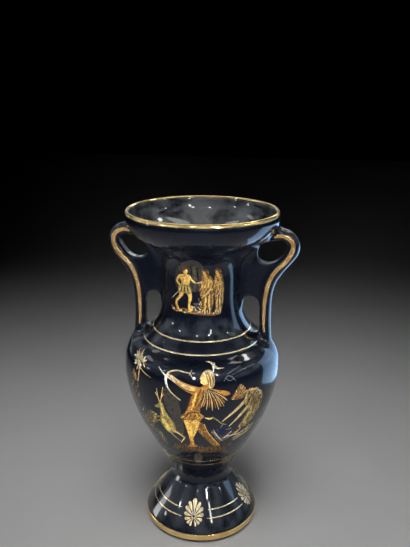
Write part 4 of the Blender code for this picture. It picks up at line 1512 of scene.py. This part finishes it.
@dataclass(frozen=True)
class Lamp:
    """A soft flat light of even glow, aimed at a point in metres; the camera doesn't see it.

    It stands at an azimuth in degrees from the vase's front towards +X, at an elevation in degrees, and
    as far as its reach from the point. Size and reach are in metres, spread is in degrees.
    """

    name: str
    azimuth: float
    elevation: float
    reach: float
    size: Pair
    glow: float
    aim: Triple = FOOT
    use: Use = Use.GLOSS
    shape: str = "ELLIPSE"
    colour: Triple = (1.0, 1.0, 1.0)
    spread: float = 180.0

    def build(self) -> bpy.types.Object:
        """Put the light in its place."""
        data = bpy.data.lights.new(self.name, "AREA")
        data.shape = self.shape
        data.size, data.size_y = self.size
        data.energy = self.glow * pi * self.size[0] * self.size[1]
        data.color = self.colour
        data.spread = radians(self.spread)
        item = bpy.data.objects.new(self.name, data)
        bpy.context.scene.collection.objects.link(item)
        a, e = radians(self.azimuth), radians(self.elevation)
        way = Vector((sin(a) * cos(e), -cos(a) * cos(e), sin(e)))
        item.location = Vector(self.aim) + way * self.reach
        item.rotation_euler = way.to_track_quat("Z", "Y").to_euler()
        item.visible_camera = False
        item.visible_diffuse = self.use is Use.FILL
        item.visible_glossy = self.use is Use.GLOSS
        return item


def studio_lamps() -> list[Lamp]:
    """The lights that fill the floor and pictures, then those that the glaze mirrors."""
    lamps = [
        Lamp("pool", 10.0, 76.0, 1.15, (1.10, 0.80), 0.58, (0.0, -0.095, 0.0), Use.FILL, spread=44.0),
        Lamp("figures", 4.0, -3.0, 0.8, (0.30, 0.30), 2.7, (0.0, 0.0, 0.14), Use.FILL, spread=40.0),
        Lamp("front_strip", 33.0, 34.5, 1.3, (0.060, 0.27), 27.0, shape="RECTANGLE"),
        Lamp("front_glint", 29.0, 43.6, 1.3, (0.07, 0.07), 60.0),
        Lamp("front_lamp", -4.5, 46.2, 1.3, (0.06, 0.05), 50.0),
        Lamp("left_lamp", -49.0, 31.4, 1.3, (0.06, 0.05), 45.0),
        Lamp("right_glint", 79.0, 35.0, 1.3, (0.05, 0.05), 40.0),
        Lamp("left_glow", -72.0, 15.0, 1.2, (0.10, 0.07), 9.0),
        Lamp("left_strip", -82.0, 0.0, 0.13, (0.030, 0.07), 1.1, shape="RECTANGLE", spread=70.0),
        Lamp("back_right", 137.0, 52.0, 1.1, (0.22, 0.10), 10.0, SHOULDER),
        Lamp("rim_light", 180.0, 72.0, 1.2, (1.3, 0.24), 2.8, SHOULDER),
        Lamp("back_light", 172.0, 26.0, 1.3, (0.9, 0.25), 1.6, SHOULDER),
    ]
    for share, glow in ((1.0, 1.0), (0.72, 1.6), (0.48, 2.6), (0.26, 4.0)):
        lamps.append(Lamp("right_lamp", 92.0, 33.0, 1.2, (0.40 * share, 0.22 * share), glow, SHOULDER,
                          colour=(0.80, 0.91, 1.0)))
        lamps.append(Lamp("back_left", -106.0, 43.5, 1.1, (0.40 * share, 0.14 * share), 1.6 * glow,
                          SHOULDER))
    for share, glow in ((1.0, 2.3), (0.965, 0.6), (0.93, 0.4)):
        lamps.append(Lamp("window", 129.5, 0.0, 0.133, (0.130 * share, 0.142 * share), glow,
                          (0.0218, -0.0264, 0.141), shape="RECTANGLE", colour=(0.37, 0.63, 1.0)))
    return lamps


@dataclass
class Studio:
    """Floor, lights and camera."""

    floor_material: bpy.types.Material
    vase_turn: float = 10.0
    focal_px: float = 650.0
    image: tuple[int, int] = (410, 547)
    distance: float = 0.459
    camera_height: float = 0.339
    pitch: float = 16.69
    roll: float = 0.28
    aside: float = 0.0020
    sensor: float = 36.0
    lamps: list[Lamp] = field(default_factory=studio_lamps)
    room_colour: Triple = (0.76, 0.87, 1.0)
    room_bands: tuple[Pair, ...] = ((0.48, 0.0), (0.54, 0.8), (0.88, 1.0), (0.96, 0.2))
    cloud_scale: float = 2.6
    cloud_detail: float = 3.0
    cloud_range: tuple[float, float, float, float] = (0.40, 0.68, 0.05, 1.15)

    def floor(self) -> bpy.types.Object:
        """The board that the vase stands on."""
        shape = bmesh.new()
        bmesh.ops.create_grid(shape, x_segments=8, y_segments=8, size=2.5)
        floor = new_object("floor", to_mesh(shape, "floor"))
        floor.data.materials.append(self.floor_material)
        return floor

    def camera(self) -> bpy.types.Object:
        """The photograph's viewpoint."""
        data = bpy.data.cameras.new("camera")
        data.sensor_fit = "VERTICAL"
        data.sensor_height = self.sensor
        data.lens = self.focal_px / self.image[1] * self.sensor
        item = bpy.data.objects.new("camera", data)
        bpy.context.scene.collection.objects.link(item)
        turn = Matrix.Rotation(radians(self.vase_turn), 4, "Z")
        place = Matrix.Translation((self.aside, -self.distance, self.camera_height))
        aim = Matrix.Rotation(radians(90.0 - self.pitch), 4, "X")
        roll = Matrix.Rotation(radians(self.roll), 4, "Z")
        item.matrix_world = turn @ place @ aim @ roll
        bpy.context.scene.camera = item
        return item

    def lights(self) -> None:
        """Every light."""
        for lamp in self.lamps:
            lamp.build()

    def world(self) -> None:
        """A dim room, seen only as a soft uneven sheen in the glaze and the gold."""
        world = bpy.data.worlds.new("dim_room")
        world.use_nodes = True
        tree = world.node_tree
        shade = tree.nodes["Background"]
        shade.inputs["Color"].default_value = (*self.room_colour, 1.0)
        where = tree.nodes.new("ShaderNodeTexCoord").outputs["Generated"]
        split = tree.nodes.new("ShaderNodeSeparateXYZ")
        band = tree.nodes.new("ShaderNodeValToRGB")
        stops = band.color_ramp.elements
        for index, (up, level) in enumerate(self.room_bands):
            stop = stops[index] if index < 2 else stops.new(up)
            stop.position, stop.color = up, (level, level, level, 1.0)
        rise = tree.nodes.new("ShaderNodeMapRange")
        rise.inputs["From Min"].default_value = -1.0
        cloud = tree.nodes.new("ShaderNodeTexNoise")
        cloud.inputs["Scale"].default_value = self.cloud_scale
        cloud.inputs["Detail"].default_value = self.cloud_detail
        patchy = tree.nodes.new("ShaderNodeMapRange")
        for socket, value in zip(("From Min", "From Max", "To Min", "To Max"), self.cloud_range):
            patchy.inputs[socket].default_value = value
        both = tree.nodes.new("ShaderNodeMath")
        both.operation = "MULTIPLY"
        for source, target in ((where, split.inputs[0]), (where, cloud.inputs["Vector"]),
                               (split.outputs["Z"], rise.inputs["Value"]),
                               (rise.outputs[0], band.inputs["Fac"]),
                               (cloud.outputs["Fac"], patchy.inputs["Value"]),
                               (band.outputs["Color"], both.inputs[0]),
                               (patchy.outputs[0], both.inputs[1]),
                               (both.outputs[0], shade.inputs["Strength"])):
            tree.links.new(source, target)
        bpy.context.scene.world = world
        world.cycles_visibility.camera = False
        world.cycles_visibility.diffuse = False
        bpy.context.scene.view_settings.view_transform = "Standard"

    def build(self) -> None:
        """Set everything round the vase."""
        self.floor()
        self.camera()
        self.lights()
        self.world()


def main() -> None:
    """Build the vase, its gold and its pictures, and the studio round it."""
    logging.basicConfig(level=logging.INFO, format="%(name)s: %(message)s")
    pot, handle = PotOutline(), HandleShape()
    form = GlazedForm(pot, handle)
    vase = Vase(pot, handle, form).build(BlackGlaze().material(), BareClay().material())
    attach(vase, BODY)
    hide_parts(CAD_NODE)
    LOG.info("%s: %d faces", vase.name, len(vase.data.polygons))
    fine = GoldLustre("gold_lines", bright=(0.98, 0.82, 0.52), worn=(0.86, 0.64, 0.34), metallic=0.7)
    broad = GoldLustre("gold_stripes", bright=(0.93, 0.62, 0.28), worn=(0.66, 0.36, 0.12), metallic=0.8)
    gold = GoldWork(pot, form, GoldLustre().material(), fine.material(), broad.material())
    for piece in gold.build():
        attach(piece, BODY)
        LOG.info("%s: %d faces", piece.name, len(piece.data.polygons))
    for piece in Pictures(gold.on_pot(0.0), PictureEnamel().material()).build():
        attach(piece, BODY)
        LOG.info("%s: %d faces", piece.name, len(piece.data.polygons))
    Studio(PaleFloor().material()).build()


if __name__ == "__main__":
    main()
